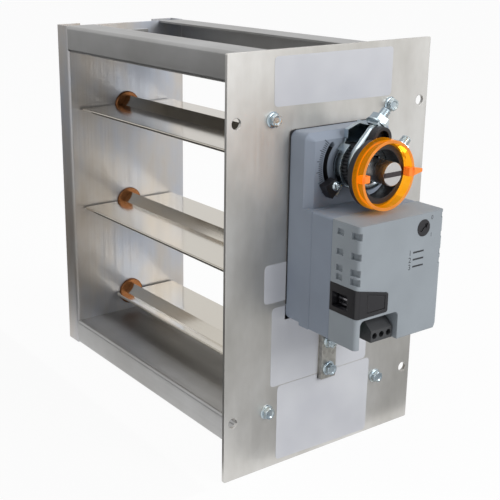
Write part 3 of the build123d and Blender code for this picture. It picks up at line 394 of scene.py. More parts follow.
# %% [markdown]
# The top and bottom channels come from the same sheet, but they lie on their side, so their grain runs
# along X. That is why they get a finish of their own with the long cells turned.
# %% Finish the top and bottom channels
trough_sheet = Finish("brushed_trough_sheet", from_hex("#ADADAC"), 1.0, 0.42)
trough_sheet.soften_edges(sheet_edge)
trough_grain = trough_sheet.noise(trough_sheet.stretched(5, 700, 700), detail=3)
trough_blotches = trough_sheet.noise(trough_sheet.stretched(9, 14, 14), detail=4, roughness=0.6)
trough_sheet.tint(trough_blotches, (0.3, from_hex("#A09F9D")), (0.7, from_hex("#BBBBBB")))
trough_sheet.rough(trough_grain, 0.28, 0.5)
trough_sheet.bump(trough_grain, 0.00004, 0.5)
finish_nodes(trough_sheet, "top_channel", "bottom_channel")
print("top and bottom channels finished")

# %% [markdown]
# ## Cover plate
# The cover plate is the damper's face. Its satin is paler and more even than the casing's. The same steps
# make it, with lighter colours and a relief that is less than half as deep.
# %% Finish the cover plate
cover_sheet = Finish("satin_cover_sheet", from_hex("#C6C6C4"), 1.0, 0.42)
cover_sheet.soften_edges(sheet_edge)
cover_grain = cover_sheet.noise(cover_sheet.stretched(500, 900, 5), detail=3)
cover_cloud = cover_sheet.noise(cover_sheet.stretched(10, 22, 12), detail=4, roughness=0.6)
cover_sheet.tint(cover_cloud, (0.3, from_hex("#B9B7B2")), (0.5, from_hex("#CAC8C4")),
                 (0.72, from_hex("#DBDAD7")))
cover_sheet.rough(cover_grain, 0.34, 0.55)
cover_sheet.bump(cover_grain, 0.00004, 0.55)
finish_nodes(cover_sheet, "cover_plate")
print("cover plate finished")

# %% [markdown]
# ## Blades
# Extruded aluminium comes off the die almost as bright as a mirror, with fine lines along its length. A
# plain low roughness would look like chrome, so the lines go into both the roughness and the relief.
# %% Finish the blades
blade_metal = Finish("extruded_blade_metal", from_hex("#DAD4C9"), 1.0, 0.12)
die_lines = blade_metal.noise(blade_metal.stretched(3, 900, 900), detail=2)
blade_metal.rough(die_lines, 0.07, 0.2)
blade_metal.bump(die_lines, 0.00002, 0.35)
finish_nodes(blade_metal, "upper_blade", "middle_blade", "lower_blade")
print("blades finished")

# %% [markdown]
# ## Bushes
# The shafts turn in bronze bushes that are pressed from powder, so their surface is full of pores that
# hold oil. Noise of 0.4 mm stands for the pores, darker where the oil sits.
# %% Finish the bushes
bush_bronze = Finish("sintered_bronze", from_hex("#8A5C3A"), 1.0, 0.4)
pores = bush_bronze.noise(bush_bronze.stretched(2500, 2500, 2500), detail=2)
bush_bronze.tint(pores, (0.35, from_hex("#6E482C")), (0.65, from_hex("#956643")))
bush_bronze.bump(pores, 0.00005, 0.4)
finish_nodes(bush_bronze, "left_bushes", "right_bushes")
print("bushes finished")

# %% [markdown]
# ## Shafts
# The shafts are bright steel, turned on a lathe. The tool leaves fine rings round them, so the noise is
# squeezed along X, the shaft's axis, and drawn out round it.
# %% Finish the shafts
shaft_steel = Finish("turned_steel", from_hex("#D2CFCE"), 1.0, 0.28)
turning = shaft_steel.noise(shaft_steel.stretched(3500, 60, 60), detail=1)
shaft_steel.rough(turning, 0.2, 0.38)
shaft_steel.bump(turning, 0.00003, 0.4)
finish_nodes(shaft_steel, "drive_shaft", "upper_left_stub", "middle_left_stub", "lower_left_stub",
             "middle_right_stub", "lower_right_stub")
print("shafts finished")

# %% [markdown]
# ## Zinc-plated pieces
# Screws, nuts, clamp and linkage are zinc plated and blue passivated: bluish grey, with a slow drift of
# colour where the bath dried. One even colour would look like paint, so a slow noise moves it between
# blue and a trace of yellow.
# %% Finish the zinc-plated pieces
zinc = Finish("blue_zinc", from_hex("#B6C2C9"), 1.0, 0.2)
zinc.soften_edges(0.0003)
bath_drift = zinc.noise(zinc.stretched(120, 120, 120), detail=3)
zinc.tint(bath_drift, (0.3, from_hex("#A6B5BF")), (0.55, from_hex("#BCC7CC")), (0.75, from_hex("#C2C4B8")))
zinc_grain = zinc.noise(zinc.stretched(1800, 1800, 1800), detail=2)
zinc.rough(zinc_grain, 0.14, 0.28)
zinc.bump(zinc_grain, 0.00002, 0.35)
finish_nodes(zinc, "upper_crank", "middle_crank", "lower_crank", "link_bar", "link_pins", "link_clips",
             "plate_screws", "strap_screws", "clamp_bracket", "u_bolt", "clamp_nuts", "clamp_jaw",
             "left_stop_screw", "right_stop_screw", "casing_rivets")
print("zinc-plated pieces finished")

# %% [markdown]
# ## Strap
# The strap that keeps the actuator from turning is cut from sheet dipped in molten zinc. It cools in
# crystals of a few millimetres, the spangle. Voronoi cells have the same straight borders as the crystals.
# %% Finish the strap
strap_zinc = Finish("spangled_strap", from_hex("#B0AEA8"), 1.0, 0.45)
spangles = strap_zinc.spangle(strap_zinc.stretched(420, 420, 420))
strap_zinc.tint(spangles, (0.2, from_hex("#A19F99")), (0.8, from_hex("#B9B7B1")))
strap_zinc.rough(spangles, 0.35, 0.5)
finish_nodes(strap_zinc, "anti_rotation_strap")
print("strap finished")

# %% [markdown]
# ## Plastics
# The mould of a plastic case is spark eroded, which leaves a fine grain on the case. It hardly shows as
# colour, but it breaks up the gloss, so it goes into the relief and the roughness. The pieces differ only
# in colour, gloss and depth of grain, so one helper makes them all.


# %% Mix a moulded plastic
def moulded(name, code, rough_low, rough_high, grain_depth):
    """A plastic with a fine moulded grain."""
    plastic = Finish(name, from_hex(code), 0.0, rough_high)
    plastic.soften_edges(0.0004)
    grain = plastic.noise(plastic.stretched(1300, 1300, 1300), detail=2)
    cloud = plastic.noise(plastic.stretched(40, 40, 40), detail=2)
    base = from_hex(code)
    plastic.tint(cloud, (0.3, tuple(0.95 * c for c in base)), (0.7, tuple(1.05 * c for c in base)))
    plastic.rough(grain, rough_low, rough_high)
    plastic.bump(grain, grain_depth, 0.5)
    return plastic


case_grey = moulded("grey_case", "#969DA3", 0.42, 0.62, 0.00008)
finish_nodes(case_grey, "actuator_cover")
case_blue_grey = moulded("blue_grey_case", "#8C95A3", 0.42, 0.62, 0.00008)
finish_nodes(case_blue_grey, "actuator_base", "middle_shell")
print("case finished")

# %% Finish the small plastic pieces
soft_black = moulded("satin_black", "#1D1C20", 0.3, 0.45, 0.00003)
finish_nodes(soft_black, "corner_surround", "release_button", "direction_dial", "spindle_driver",
             "indicator_collar", "left_end_stop", "right_end_stop")
terminal_grey = moulded("terminal_grey", "#3F4042", 0.35, 0.5, 0.00002)
finish_nodes(terminal_grey, "terminal_block")
board_green = moulded("board_green", "#0E5A3C", 0.2, 0.35, 0.00001)
finish_nodes(board_green, "circuit_board")
print("small plastic pieces finished")

# %% [markdown]
# ## Service contacts
# The contacts in the corner socket are tinned strip, which is softer than steel and scratches easily. A
# relief would be lost on pieces this small, so the scratches, drawn out along X, go into the roughness.
# %% Finish the contacts
contact_metal = Finish("tinned_contact", from_hex("#B4B4BC"), 1.0, 0.22)
contact_scratches = contact_metal.noise(contact_metal.stretched(200, 3000, 3000), detail=1)
contact_metal.rough(contact_scratches, 0.15, 0.3)
finish_nodes(contact_metal, "service_contacts")
print("contacts finished")

# %% [markdown]
# ## Colours of the indicator ring
# The ring is clear orange plastic, so light enters it and glows in its edges. It could be a clear shell
# with a coloured volume inside, but so small a ring reads better as tinted glass with a faint painted glow,
# an emission that stands for the light that its edges pipe round. Its front edge is matt, which needs a
# second finish with less light coming through and a weaker painted glow.
# %% Mix the ring's colours
ring_amber = Finish("clear_amber", from_hex("#FFB624"), 0.0, 0.02)
ring_amber.set("Transmission Weight", 1.0)
ring_amber.set("IOR", 1.12)
# Painted glow: the ring's wall emits a faint orange light of its own.
ring_amber.set("Emission Color", (1.0, 0.38, 0.005, 1))
ring_amber.set("Emission Strength", 0.22)
flow = ring_amber.noise(ring_amber.stretched(150, 150, 150), detail=2)
ring_amber.tint(flow, (0.3, from_hex("#FFAE20")), (0.7, from_hex("#FFC23C")))
ring_rim = Finish("orange_rim", from_hex("#F29340"), 0.0, 0.3)
ring_rim.set("Transmission Weight", 0.35)
ring_rim.set("IOR", 1.3)
# Painted glow: the matt edge, index blocks and pointer emit a weaker orange light of their own.
ring_rim.set("Emission Color", (1.0, 0.33, 0.02, 1))
ring_rim.set("Emission Strength", 0.16)
rim_flow = ring_rim.noise(ring_rim.stretched(150, 150, 150), detail=2)
ring_rim.tint(rim_flow, (0.3, from_hex("#F08E3A")), (0.7, from_hex("#F5A052")))
print("ring colours mixed")

# %% [markdown]
# ## Pieces made here
# Threads, stickers, moulded marks and screw recesses are too fine for the CAD model. Each is a mesh that
# stands where it does on the damper, and it rides on a body, so it moves with that body's joint.


# %% Add a piece to a body
def add_piece(name, mesh, finish, body):
    """Links a mesh piece, gives it a finish and lets it ride on a body."""
    mesh.materials.append(finish.material)
    piece = bpy.data.objects.new(name, mesh)
    bpy.context.scene.collection.objects.link(piece)
    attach(piece, body)
    return piece


shaft_low, shaft_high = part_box("drive_shaft")
axis_y = (shaft_low.y + shaft_high.y) / 2
axis_z = (shaft_low.z + shaft_high.z) / 2
shaft_radius = (shaft_high.y - shaft_low.y) / 2
print("drive axis at", round(1000 * axis_y, 2), round(1000 * axis_z, 2), "mm")

# %% [markdown]
# ## Skin over rings
# A rod, a screw or a slot's lining is easy to describe as a row of rings with the same number of points.
# The helper joins each ring to the next and closes both ends. It works on several rows at once, so that
# four equal screws can be one mesh.


# %% Stretch a skin over rings
def face_outward(mesh):
    """Turns the faces of a closed mesh outward."""
    shape = bmesh.new()
    shape.from_mesh(mesh)
    bmesh.ops.recalc_face_normals(shape, faces=shape.faces[:])
    shape.to_mesh(mesh)
    shape.free()


def surface_of_rings(name, stacks, smooth=True):
    """Closed surfaces, one through each stack of rings, with a cap on its first and last ring."""
    points = []
    faces = []
    for rings in stacks:
        first = len(points)
        count = len(rings[0])
        points += [point for ring in rings for point in ring]
        faces.append(tuple(range(first + count - 1, first - 1, -1)))
        faces.append(tuple(range(first + (len(rings) - 1) * count, first + len(rings) * count)))
        for i in range(len(rings) - 1):
            low = first + i * count
            for k in range(count):
                after = (k + 1) % count
                faces.append((low + k, low + after, low + count + after, low + count + k))
    mesh = bpy.data.meshes.new(name)
    mesh.from_pydata(points, [], faces)
    face_outward(mesh)
    if smooth:
        mesh.polygons.foreach_set("use_smooth", [len(face) == 4 for face in faces])
    mesh.update()
    return mesh


print("ring helper ready")

# %% [markdown]
# ## U-bolt with its threads
# The clamp's rod has a rolled thread on both legs, which catches the light as fine rings. A texture
# could fake it, but the nuts sit on the threads and the rod's end is seen against the white, so the
# thread is real: where the rod is threaded, its radius follows a helix.
# %% Shape the thread
bolt_low, bolt_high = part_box("u_bolt")
bolt_radius = (bolt_high.x - bolt_low.x) / 2
leg_reach = 0.032
thread_start = 0.0165
thread_pitch = 0.001
thread_depth = 0.00034
tip_chamfer = 0.0007


def thread_radius(s, angle):
    """Radius of the rod at the distance s along a leg, seen at angle round it."""
    if s < thread_start:
        return bolt_radius
    phase = (s / thread_pitch - angle / tau) % 1
    crest = bolt_radius - thread_depth * (1 - abs(2 * phase - 1))
    return min(crest, bolt_radius - thread_depth * 2 + (leg_reach - s) * thread_depth * 2 / tip_chamfer)


print("rod", round(2000 * bolt_radius, 2), "mm, pitch", round(1000 * thread_pitch, 2), "mm")

# %% [markdown]
# The rod lies in a plane that is tilted by 45 degrees, as the clamp is. It goes down one leg, round the
# bow behind the shaft and up the other leg. Eight rings for each turn of the thread are enough for it to
# read as a thread, and the bow needs only one ring every few degrees.
# %% Make the U-bolt
clamp_tilt = radians(45)
bolt_x = (bolt_high.x + bolt_low.x) / 2
leg_direction = Vector((0, cos(clamp_tilt), sin(clamp_tilt)))
across_legs = Vector((0, -sin(clamp_tilt), cos(clamp_tilt)))
leg_half = 0.0128
bow_centre = leg_half - bolt_radius - shaft_radius
station_step = thread_pitch / 8
around_rod = 32
bow_steps = 48


def rod_ring(s, n, inward, threaded):
    """One ring of the rod at (s, n) in the clamp's plane; inward points across the rod."""
    centre = Vector((bolt_x, axis_y, axis_z)) + leg_direction * s + across_legs * n
    ring = []
    for k in range(around_rod):
        angle = tau * k / around_rod
        radius = thread_radius(s, angle) if threaded else bolt_radius
        ring.append(centre + Vector((1, 0, 0)) * radius * cos(angle) + inward * radius * sin(angle))
    return ring


leg_steps = round((leg_reach - bow_centre) / station_step)
leg_stations = [leg_reach + (bow_centre - leg_reach) * i / leg_steps for i in range(leg_steps + 1)]
rod_rings = [rod_ring(s, -leg_half, across_legs, True) for s in leg_stations]
for i in range(1, bow_steps):
    turn = pi * i / bow_steps
    inward = across_legs * cos(turn) + leg_direction * sin(turn)
    rod_rings.append(rod_ring(bow_centre - leg_half * sin(turn), -leg_half * cos(turn), inward, False))
rod_rings += [rod_ring(s, leg_half, -across_legs, True) for s in reversed(leg_stations)]
rod_mesh = surface_of_rings("threaded_u_bolt", [rod_rings])
threaded_u_bolt = add_piece("threaded_u_bolt", rod_mesh, zinc, "drive")
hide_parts("u_bolt")
print("rod rings:", len(rod_rings))

# %% [markdown]
# ## Indicator ring
# The real ring is a thin clear wall with a matt front edge, two index blocks and a pointer, all in one
# moulding. One solid ring in tinted glass looks like a thick band, so the wall is turned at its real
# thickness, and only the face that the mould leaves matt gets the second finish.


# %% Turn a ring from its profile
def turned_ring(name, profile, y, z):
    """Ring turned about the line along X through (y, z); profile is a closed loop of (radius, x) points."""
    sections = 144
    sharp_from = radians(30)
    count = len(profile)
    points = []
    faces = []
    for k in range(sections):
        angle = tau * k / sections
        points += [(x, y + radius * cos(angle), z + radius * sin(angle)) for radius, x in profile]
        near = k * count
        far = (k + 1) % sections * count
        for i in range(count):
            after = (i + 1) % count
            faces.append((near + i, near + after, far + after, far + i))
    mesh = bpy.data.meshes.new(name)
    mesh.from_pydata(points, [], faces)
    face_outward(mesh)
    mesh.polygons.foreach_set("use_smooth", [True] * len(faces))
    mesh.set_sharp_from_angle(angle=sharp_from)
    mesh.update()
    return mesh


print("turning helper ready")

# %% Make the ring's wall
ring_low, ring_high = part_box("indicator_ring")
back_x = ring_low.x
front_x = ring_high.x
pointer_reach = 0.0265
ring_y = ring_high.y - pointer_reach
ring_z = (ring_low.z + ring_high.z) / 2
foot_radius = 0.0205
foot_height = 0.0012
outer_radius = 0.0201
wall_radius = 0.0183
ledge_radius = 0.01725
ledge_height = 0.0015
edge_break = 0.0002
ring_profile = [(ledge_radius, back_x), (foot_radius, back_x), (foot_radius, back_x + foot_height),
                (outer_radius, back_x + foot_height), (outer_radius, front_x - edge_break),
                (outer_radius - edge_break, front_x), (wall_radius + edge_break, front_x),
                (wall_radius, front_x - edge_break), (wall_radius, back_x + ledge_height),
                (ledge_radius, back_x + ledge_height)]
ring_mesh = turned_ring("thin_ring", ring_profile, ring_y, ring_z)
thin_ring = add_piece("thin_ring", ring_mesh, ring_amber, "drive")
thin_ring.data.materials.append(ring_rim.material)
for face in thin_ring.data.polygons:
    if face.center.x > front_x - edge_break:
        face.material_index = 1
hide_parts("indicator_ring")
print("ring wall", round(1000 * (outer_radius - wall_radius), 2), "mm")

# %% [markdown]
# The two index blocks stand inside the wall at its left and right, and they are matt all over. A cube with
# a small bevel is the quickest block, and the bevel gives each edge the thin highlight of a moulding. The
# same helper later makes the dark strips that paint the shadow at the blade ends, and the lining of the
# vents.


# %% Make the index blocks
def mesh_from(shape, name):
    """Turns an edited shape into a mesh and lets go of it."""
    mesh = bpy.data.meshes.new(name)
    shape.to_mesh(mesh)
    shape.free()
    return mesh


def softened_blocks(name, corners, rounding):
    """Blocks with softened edges; corners holds a low and a high corner for each block."""
    shape = bmesh.new()
    for low, high in corners:
        block = bmesh.ops.create_cube(shape, size=1)["verts"]
        bmesh.ops.scale(shape, vec=Vector(high) - Vector(low), verts=block)
        bmesh.ops.translate(shape, vec=(Vector(high) + Vector(low)) / 2, verts=block)
    bmesh.ops.bevel(shape, geom=shape.edges[:], offset=rounding, segments=2, affect="EDGES")
    return mesh_from(shape, name)


block_depth = 0.0046
block_back_x = front_x - block_depth
block_reach = 0.0200
left_block_start = 0.0144
right_block_start = 0.0158
left_block_half = 0.0020
right_block_half = 0.0025
left_block = ((block_back_x, ring_y - block_reach, ring_z - left_block_half),
              (front_x, ring_y - left_block_start, ring_z + left_block_half))
right_block = ((block_back_x, ring_y + right_block_start, ring_z - right_block_half),
               (front_x, ring_y + block_reach, ring_z + right_block_half))
block_mesh = softened_blocks("index_blocks", [left_block, right_block], edge_break)
add_piece("index_blocks", block_mesh, ring_rim, "drive")
print("index blocks", round(1000 * block_depth, 1), "mm deep")

# %% [markdown]
# The pointer is a thin tongue that narrows outward. Like the stickers below, it is a flat outline with a
# small arc in each corner, drawn out along X. Bevelling the corners would do it as well, but an arc that
# is worked out stays smooth at any radius.


# %% Cut a thin plate
def rounded(outline):
    """Points of a closed outline of (y, z, radius) corners, with an arc in each corner."""
    arc_steps = 6
    points = []
    for k, (y, z, radius) in enumerate(outline):
        corner = Vector((y, z))
        before = (Vector(outline[k - 1][:2]) - corner).normalized()
        after = (Vector(outline[(k + 1) % len(outline)][:2]) - corner).normalized()
        for i in range(arc_steps + 1):
            share = i / arc_steps
            blend = before * (1 - share) ** 2 + after * share ** 2
            points.append(corner + blend * radius)
    return [tuple(point) for point in points]


def plate_of(name, outline, base_x, thickness):
    """Thin plate that faces +X; outline is a list of (y, z, radius) corners."""
    shape = bmesh.new()
    face = shape.faces.new([shape.verts.new((base_x, y, z)) for y, z in rounded(outline)])
    top = bmesh.ops.extrude_face_region(shape, geom=[face])
    for vertex in (part for part in top["geom"] if isinstance(part, bmesh.types.BMVert)):
        vertex.co.x += thickness
    bmesh.ops.recalc_face_normals(shape, faces=shape.faces[:])
    return mesh_from(shape, name)


print("plate helper ready")

# %% Make the ring's pointer
pointer_root_y = ring_y + 0.0192
pointer_root_half = 0.0025
pointer_tip_half = 0.0009
pointer_thickness = 0.0020
pointer_outline = [(pointer_root_y, ring_z - pointer_root_half, edge_break),
                   (ring_high.y, ring_z - pointer_tip_half, edge_break),
                   (ring_high.y, ring_z + pointer_tip_half, edge_break),
                   (pointer_root_y, ring_z + pointer_root_half, edge_break)]
pointer_mesh = plate_of("ring_pointer", pointer_outline, front_x - pointer_thickness, pointer_thickness)
add_piece("ring_pointer", pointer_mesh, ring_rim, "drive")
print("pointer", round(1000 * (ring_high.y - pointer_root_y), 1), "mm long")

# %% [markdown]
# ## Painted shadow at the blade ends
# A blade stops short of the casing wall, and the gap between them lies in shade. A thin dark strip on each
# blade end fills most of the gap and paints that shadow. The strip is drawn as plain blocks, because a gap
# this thin shows only as a line. It leaves the hub free, where the bush and the shaft are.
# %% Paint the shadow at the blade ends
# The dark strips paint the shadow in the gap between each blade end and the casing wall.
gap_shade_black = moulded("gap_shade_black", "#262423", 0.6, 0.8, 0.00003)
gap_shade_half = 0.0005
gap_shade_reach = 0.0019
gap_shade_inset = 0.0006
gap_shade_keep_out = 0.0130
least_shade_strip = 0.004
blade_bodies = {"upper_blade": "drive", "middle_blade": "middle_blade_set", "lower_blade": "lower_blade_set"}
for node, body in blade_bodies.items():
    blade_low, blade_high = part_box(node)
    blade_z = (blade_low.z + blade_high.z) / 2
    front_half = (blade_low.y + gap_shade_inset, axis_y - gap_shade_keep_out)
    rear_half = (axis_y + gap_shade_keep_out, blade_high.y - gap_shade_inset)
    strips = []
    left_end = (blade_low.x - gap_shade_reach, blade_low.x)
    right_end = (blade_high.x, blade_high.x + gap_shade_reach)
    for start_x, end_x in (left_end, right_end):
        for start_y, end_y in (front_half, rear_half):
            if end_y - start_y > least_shade_strip:
                strips.append(((start_x, start_y, blade_z - gap_shade_half), (end_x, end_y, blade_z + gap_shade_half)))
    name = node + "_gap_shadow"
    add_piece(name, softened_blocks(name, strips, 0.0002), gap_shade_black, body)
    print(name, len(strips), "strips")

# %% [markdown]
# ## Hexagon screws
# The plate and the strap are held by small self-tapping screws with a hexagon head, a flange pressed on
# in one piece, and a dish in the top, which the cold-heading tool leaves. The dish and the chamfer are
# what catches the light, so each head is a stack of rings: round for the flange, six-sided above it.
# %% Shape a hexagon screw
flange_radius = 0.0047
flange_edge = 0.0004
cone_radius = 0.0041
cone_height = 0.0010
hexagon_half = 0.0034
hexagon_foot = 0.0011
hexagon_top = 0.0036
crown_radius = 0.0033
crown_height = 0.0040
dish_radius = 0.0025
dish_floor_radius = 0.0019
dish_floor = 0.0035
dish_middle_radius = 0.0001
screw_radius = 0.0021
screw_tip_radius = 0.0006
screw_taper = 0.0024
around_screw = 72


def hexagon_reach(angle):
    """Distance from the middle of the head to its side at an angle."""
    return hexagon_half / cos((angle + pi / 6) % (pi / 3) - pi / 6)


def hexagon_screw_rings(y, z, seat_x, tip_x):
    """Rings of one screw whose flange sits at seat_x; a radius of None is the hexagon."""
    stations = [(tip_x, screw_tip_radius), (tip_x + screw_taper, screw_radius), (seat_x, screw_radius),
                (seat_x, flange_radius), (seat_x + flange_edge, flange_radius),
                (seat_x + cone_height, cone_radius), (seat_x + hexagon_foot, None),
                (seat_x + hexagon_top, None), (seat_x + crown_height, crown_radius),
                (seat_x + crown_height, dish_radius), (seat_x + dish_floor, dish_floor_radius),
                (seat_x + dish_floor, dish_middle_radius)]
    rings = []
    for x, radius in stations:
        ring = []
        for k in range(around_screw):
            angle = tau * k / around_screw
            reach = hexagon_reach(angle) if radius is None else radius
            ring.append((x, y + reach * cos(angle), z + reach * sin(angle)))
        rings.append(ring)
    return rings


print("hexagon", round(2000 * hexagon_half, 1), "mm across flats")

# %% [markdown]
# The screws take their places from the CAD screws. The box round four equal screws gives their centres,
# because a flange's radius lies between each centre and the box.
# %% Make the plate screws
cad_flange_radius = 0.0052
plate_face_x = 0.0
box_low, box_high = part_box("plate_screws")
plate_screw_stacks = [hexagon_screw_rings(y, z, plate_face_x, box_low.x)
                      for y in (box_low.y + cad_flange_radius, box_high.y - cad_flange_radius)
                      for z in (box_low.z + cad_flange_radius, box_high.z - cad_flange_radius)]
plate_screw_mesh = surface_of_rings("plate_hexagon_screws", plate_screw_stacks, smooth=False)
plate_hexagon_screws = add_piece("plate_hexagon_screws", plate_screw_mesh, zinc, "frame")
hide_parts("plate_screws")
print("plate screws:", len(plate_screw_stacks))

# %% Make the strap screws
box_low, box_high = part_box("strap_screws")
strap_front_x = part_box("anti_rotation_strap")[1].x
strap_screw_y = (box_low.y + box_high.y) / 2
strap_screw_stacks = [hexagon_screw_rings(strap_screw_y, z, strap_front_x, box_low.x)
                      for z in (box_low.z + cad_flange_radius, box_high.z - cad_flange_radius)]
strap_screw_mesh = surface_of_rings("strap_hexagon_screws", strap_screw_stacks, smooth=False)
strap_hexagon_screws = add_piece("strap_hexagon_screws", strap_screw_mesh, zinc, "frame")
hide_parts("strap_screws")
print("strap screws:", len(strap_screw_stacks))

# %% [markdown]
# ## Cross-head screws of the end stops
# Each end stop is held by a small pan-head screw with a cross recess. A cross could be cut out of the head
# with a Boolean, but the head is small, so its rings do it: they make the dome, and the points that lie on
# two crossed bars are pushed inward.
# %% Shape a cross-head screw
head_rings = 22
around_head = 96
pan_height = 0.0016
pan_shank_radius = 0.0012
dome_share = 0.99
cross_half_length = 0.0016
cross_half_width = 0.00038
cross_depth = 0.0010
cross_limit = 0.9


def cross_screw(name, node, body):
    """Pan-head screw with a cross recess, along +X, in the place of a CAD screw."""
    low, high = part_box(node)
    centre_y = (low.y + high.y) / 2
    centre_z = (low.z + high.z) / 2
    head_radius = (high.y - low.y) / 2
    seat_x = high.x - pan_height

    def ring(radius, height):
        points = []
        for k in range(around_head):
            u = radius * cos(tau * k / around_head)
            v = radius * sin(tau * k / around_head)
            in_bar = (abs(u) < cross_half_width and abs(v) < cross_half_length) or \
                (abs(v) < cross_half_width and abs(u) < cross_half_length)
            x = height - cross_depth if in_bar and radius < cross_limit * head_radius else height
            points.append((x, centre_y + u, centre_z + v))
        return points

    rings = [ring(pan_shank_radius, low.x), ring(pan_shank_radius, seat_x), ring(head_radius, seat_x)]
    for i in range(head_rings):
        share = 1 - i / head_rings
        rings.append(ring(head_radius * share, seat_x + pan_height * sqrt(1 - dome_share * share ** 4)))
    screw = add_piece(name, surface_of_rings(name, [rings]), zinc, body)
    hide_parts(node)
    return screw


print("cross recess", round(1000 * cross_depth, 1), "mm deep")

# %% Make the stop screws
left_cross_screw = cross_screw("left_cross_screw", "left_stop_screw", "left_stop")
right_cross_screw = cross_screw("right_cross_screw", "right_stop_screw", "right_stop")
print("stop screws:", left_cross_screw.name, right_cross_screw.name)

# %% [markdown]
# ## Scale beside the left arc slot
# The scale is moulded on the base so that the stops can be set to an angle. Its ticks stand up by less
# than a fifth of a millimetre. Each is a small closed bar laid along a ray from the drive axis, and every
# fifth one is longer.
# %% Mould the scale
base_low, base_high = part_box("actuator_base")
stop_gap = 0.0003
scale_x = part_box("left_end_stop")[0].x - stop_gap
tick_angles = range(141, 220, 3)
long_tick_every = 5
tick_inner = 0.0212
tick_length = 0.0026
long_tick_length = 0.0042
tick_half_width = 0.0002
tick_height = 0.00016
scale_shape = bmesh.new()
for number, angle in enumerate(tick_angles):
    along = Vector((0, cos(radians(angle)), sin(radians(angle))))
    across = Vector((0, -sin(radians(angle)), cos(radians(angle))))
    length = tick_length if number % long_tick_every else long_tick_length
    root = Vector((scale_x, axis_y, axis_z)) + along * tick_inner
    corners = [root + along * a * length + across * b * tick_half_width
               for a, b in ((0, -1), (1, -1), (1, 1), (0, 1))]
    foot = [scale_shape.verts.new(corner) for corner in corners]
    crown = [scale_shape.verts.new(corner + Vector((tick_height, 0, 0))) for corner in corners]
    scale_shape.faces.new(crown)
    scale_shape.faces.new(foot[::-1])
    for k in range(4):
        scale_shape.faces.new((foot[k], foot[(k + 1) % 4], crown[(k + 1) % 4], crown[k]))
scale_grey = moulded("scale_grey", "#39404A", 0.45, 0.6, 0.00003)
add_piece("angle_scale", mesh_from(scale_shape, "angle_scale"), scale_grey, "frame")
print("ticks:", len(tick_angles))

# %% [markdown]
# ## Lining of the arc slots
# The two arc slots are deep and narrow, and on a real actuator they look nearly black, because little
# light gets to their floor. The lamps here are so large that they reach it, so each slot gets a thin dark
# lining. Its section is a U, swept along the arc as a row of rings.
# %% Draw the lining's section
slot_middle_radius = 0.0188
slot_width = 0.0034
slot_depth = 0.0040
lining = 0.0001
lining_play = 0.00002
lining_drop = 0.0003
slot_steps = 48
outer = slot_middle_radius + slot_width / 2 - lining_play
inner = slot_middle_radius - slot_width / 2 + lining_play
top_x = scale_x - lining_drop
floor_x = scale_x - slot_depth + lining_play
slot_profile = [(outer, top_x), (outer, floor_x), (inner, floor_x), (inner, top_x),
                (inner + lining, top_x), (inner + lining, floor_x + lining),
                (outer - lining, floor_x + lining), (outer - lining, top_x)]
print("lining", round(1000 * (top_x - floor_x), 2), "mm deep")

# %% Line the arc slots
slot_arcs = {"left_slot_lining": (140.5, 216.5), "right_slot_lining": (331.5, 407.5)}
slot_black = moulded("slot_shadow", "#17181B", 0.6, 0.8, 0.00003)
for name, (first_angle, last_angle) in slot_arcs.items():
    sections = []
    for i in range(slot_steps + 1):
        angle = radians(first_angle + (last_angle - first_angle) * i / slot_steps)
        sections.append([(x, axis_y + radius * cos(angle), axis_z + radius * sin(angle))
                         for radius, x in slot_profile])
    lining_mesh = surface_of_rings(name, [sections], smooth=False)
    add_piece(name, lining_mesh, slot_black, "frame")
print("slots lined:", len(slot_arcs))

# %% [markdown]
# ## Numbers on the case
# The dial and the terminals carry plain numbers, because a fitter has to tell their places apart. A
# picture could be laid on the case, but letters made from a text curve stay sharp from close by, and
# nothing has to be stored. A thin extrusion turns them into a skin of ink.


# %% Print with a text curve
def printed(name, text, size, place):
    """A number as a thin raised mesh that faces +X, centred on place."""
    curve = bpy.data.curves.new(name, "FONT")
    curve.body = text
    curve.size = size
    curve.align_x = "CENTER"
    curve.align_y = "CENTER"
    curve.extrude = print_thickness / 2
    helper = bpy.data.objects.new(name + "_outline", curve)
    bpy.context.scene.collection.objects.link(helper)
    bpy.context.view_layer.update()
    mesh = bpy.data.meshes.new_from_object(helper.evaluated_get(bpy.context.evaluated_depsgraph_get()))
    bpy.data.objects.remove(helper)
    facing = Matrix(((0, 0, 1), (1, 0, 0), (0, 1, 0))).to_4x4()
    mesh.transform(Matrix.Translation(place) @ facing)
    mesh.name = name
    return add_piece(name, mesh, print_black, "frame")


print_thickness = 0.00004
print_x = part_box("actuator_cover")[1].x
print_black = Finish("print_black", from_hex("#2A2C30"), 0.0, 0.5)
print_wear = print_black.noise(print_black.stretched(900, 900, 900), detail=2)
print_black.tint(print_wear, (0.3, from_hex("#24262A")), (0.7, from_hex("#34363A")))
print("ink lies at", round(1000 * print_x, 1), "mm")

# %% Mark the dial
dial_low, dial_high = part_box("direction_dial")
dial_centre = Vector((print_x, (dial_low.y + dial_high.y) / 2, (dial_low.z + dial_high.z) / 2))
dial_number_radius = 0.0083
dial_number_size = 0.0034
for text, angle in (("0", 38), ("1", -38)):
    place = dial_centre + Vector((0, cos(radians(angle)), sin(radians(angle)))) * dial_number_radius
    printed("dial_mark_" + text, text, dial_number_size, place)
print("dial at", round(1000 * dial_centre.y, 1), round(1000 * dial_centre.z, 1), "mm")

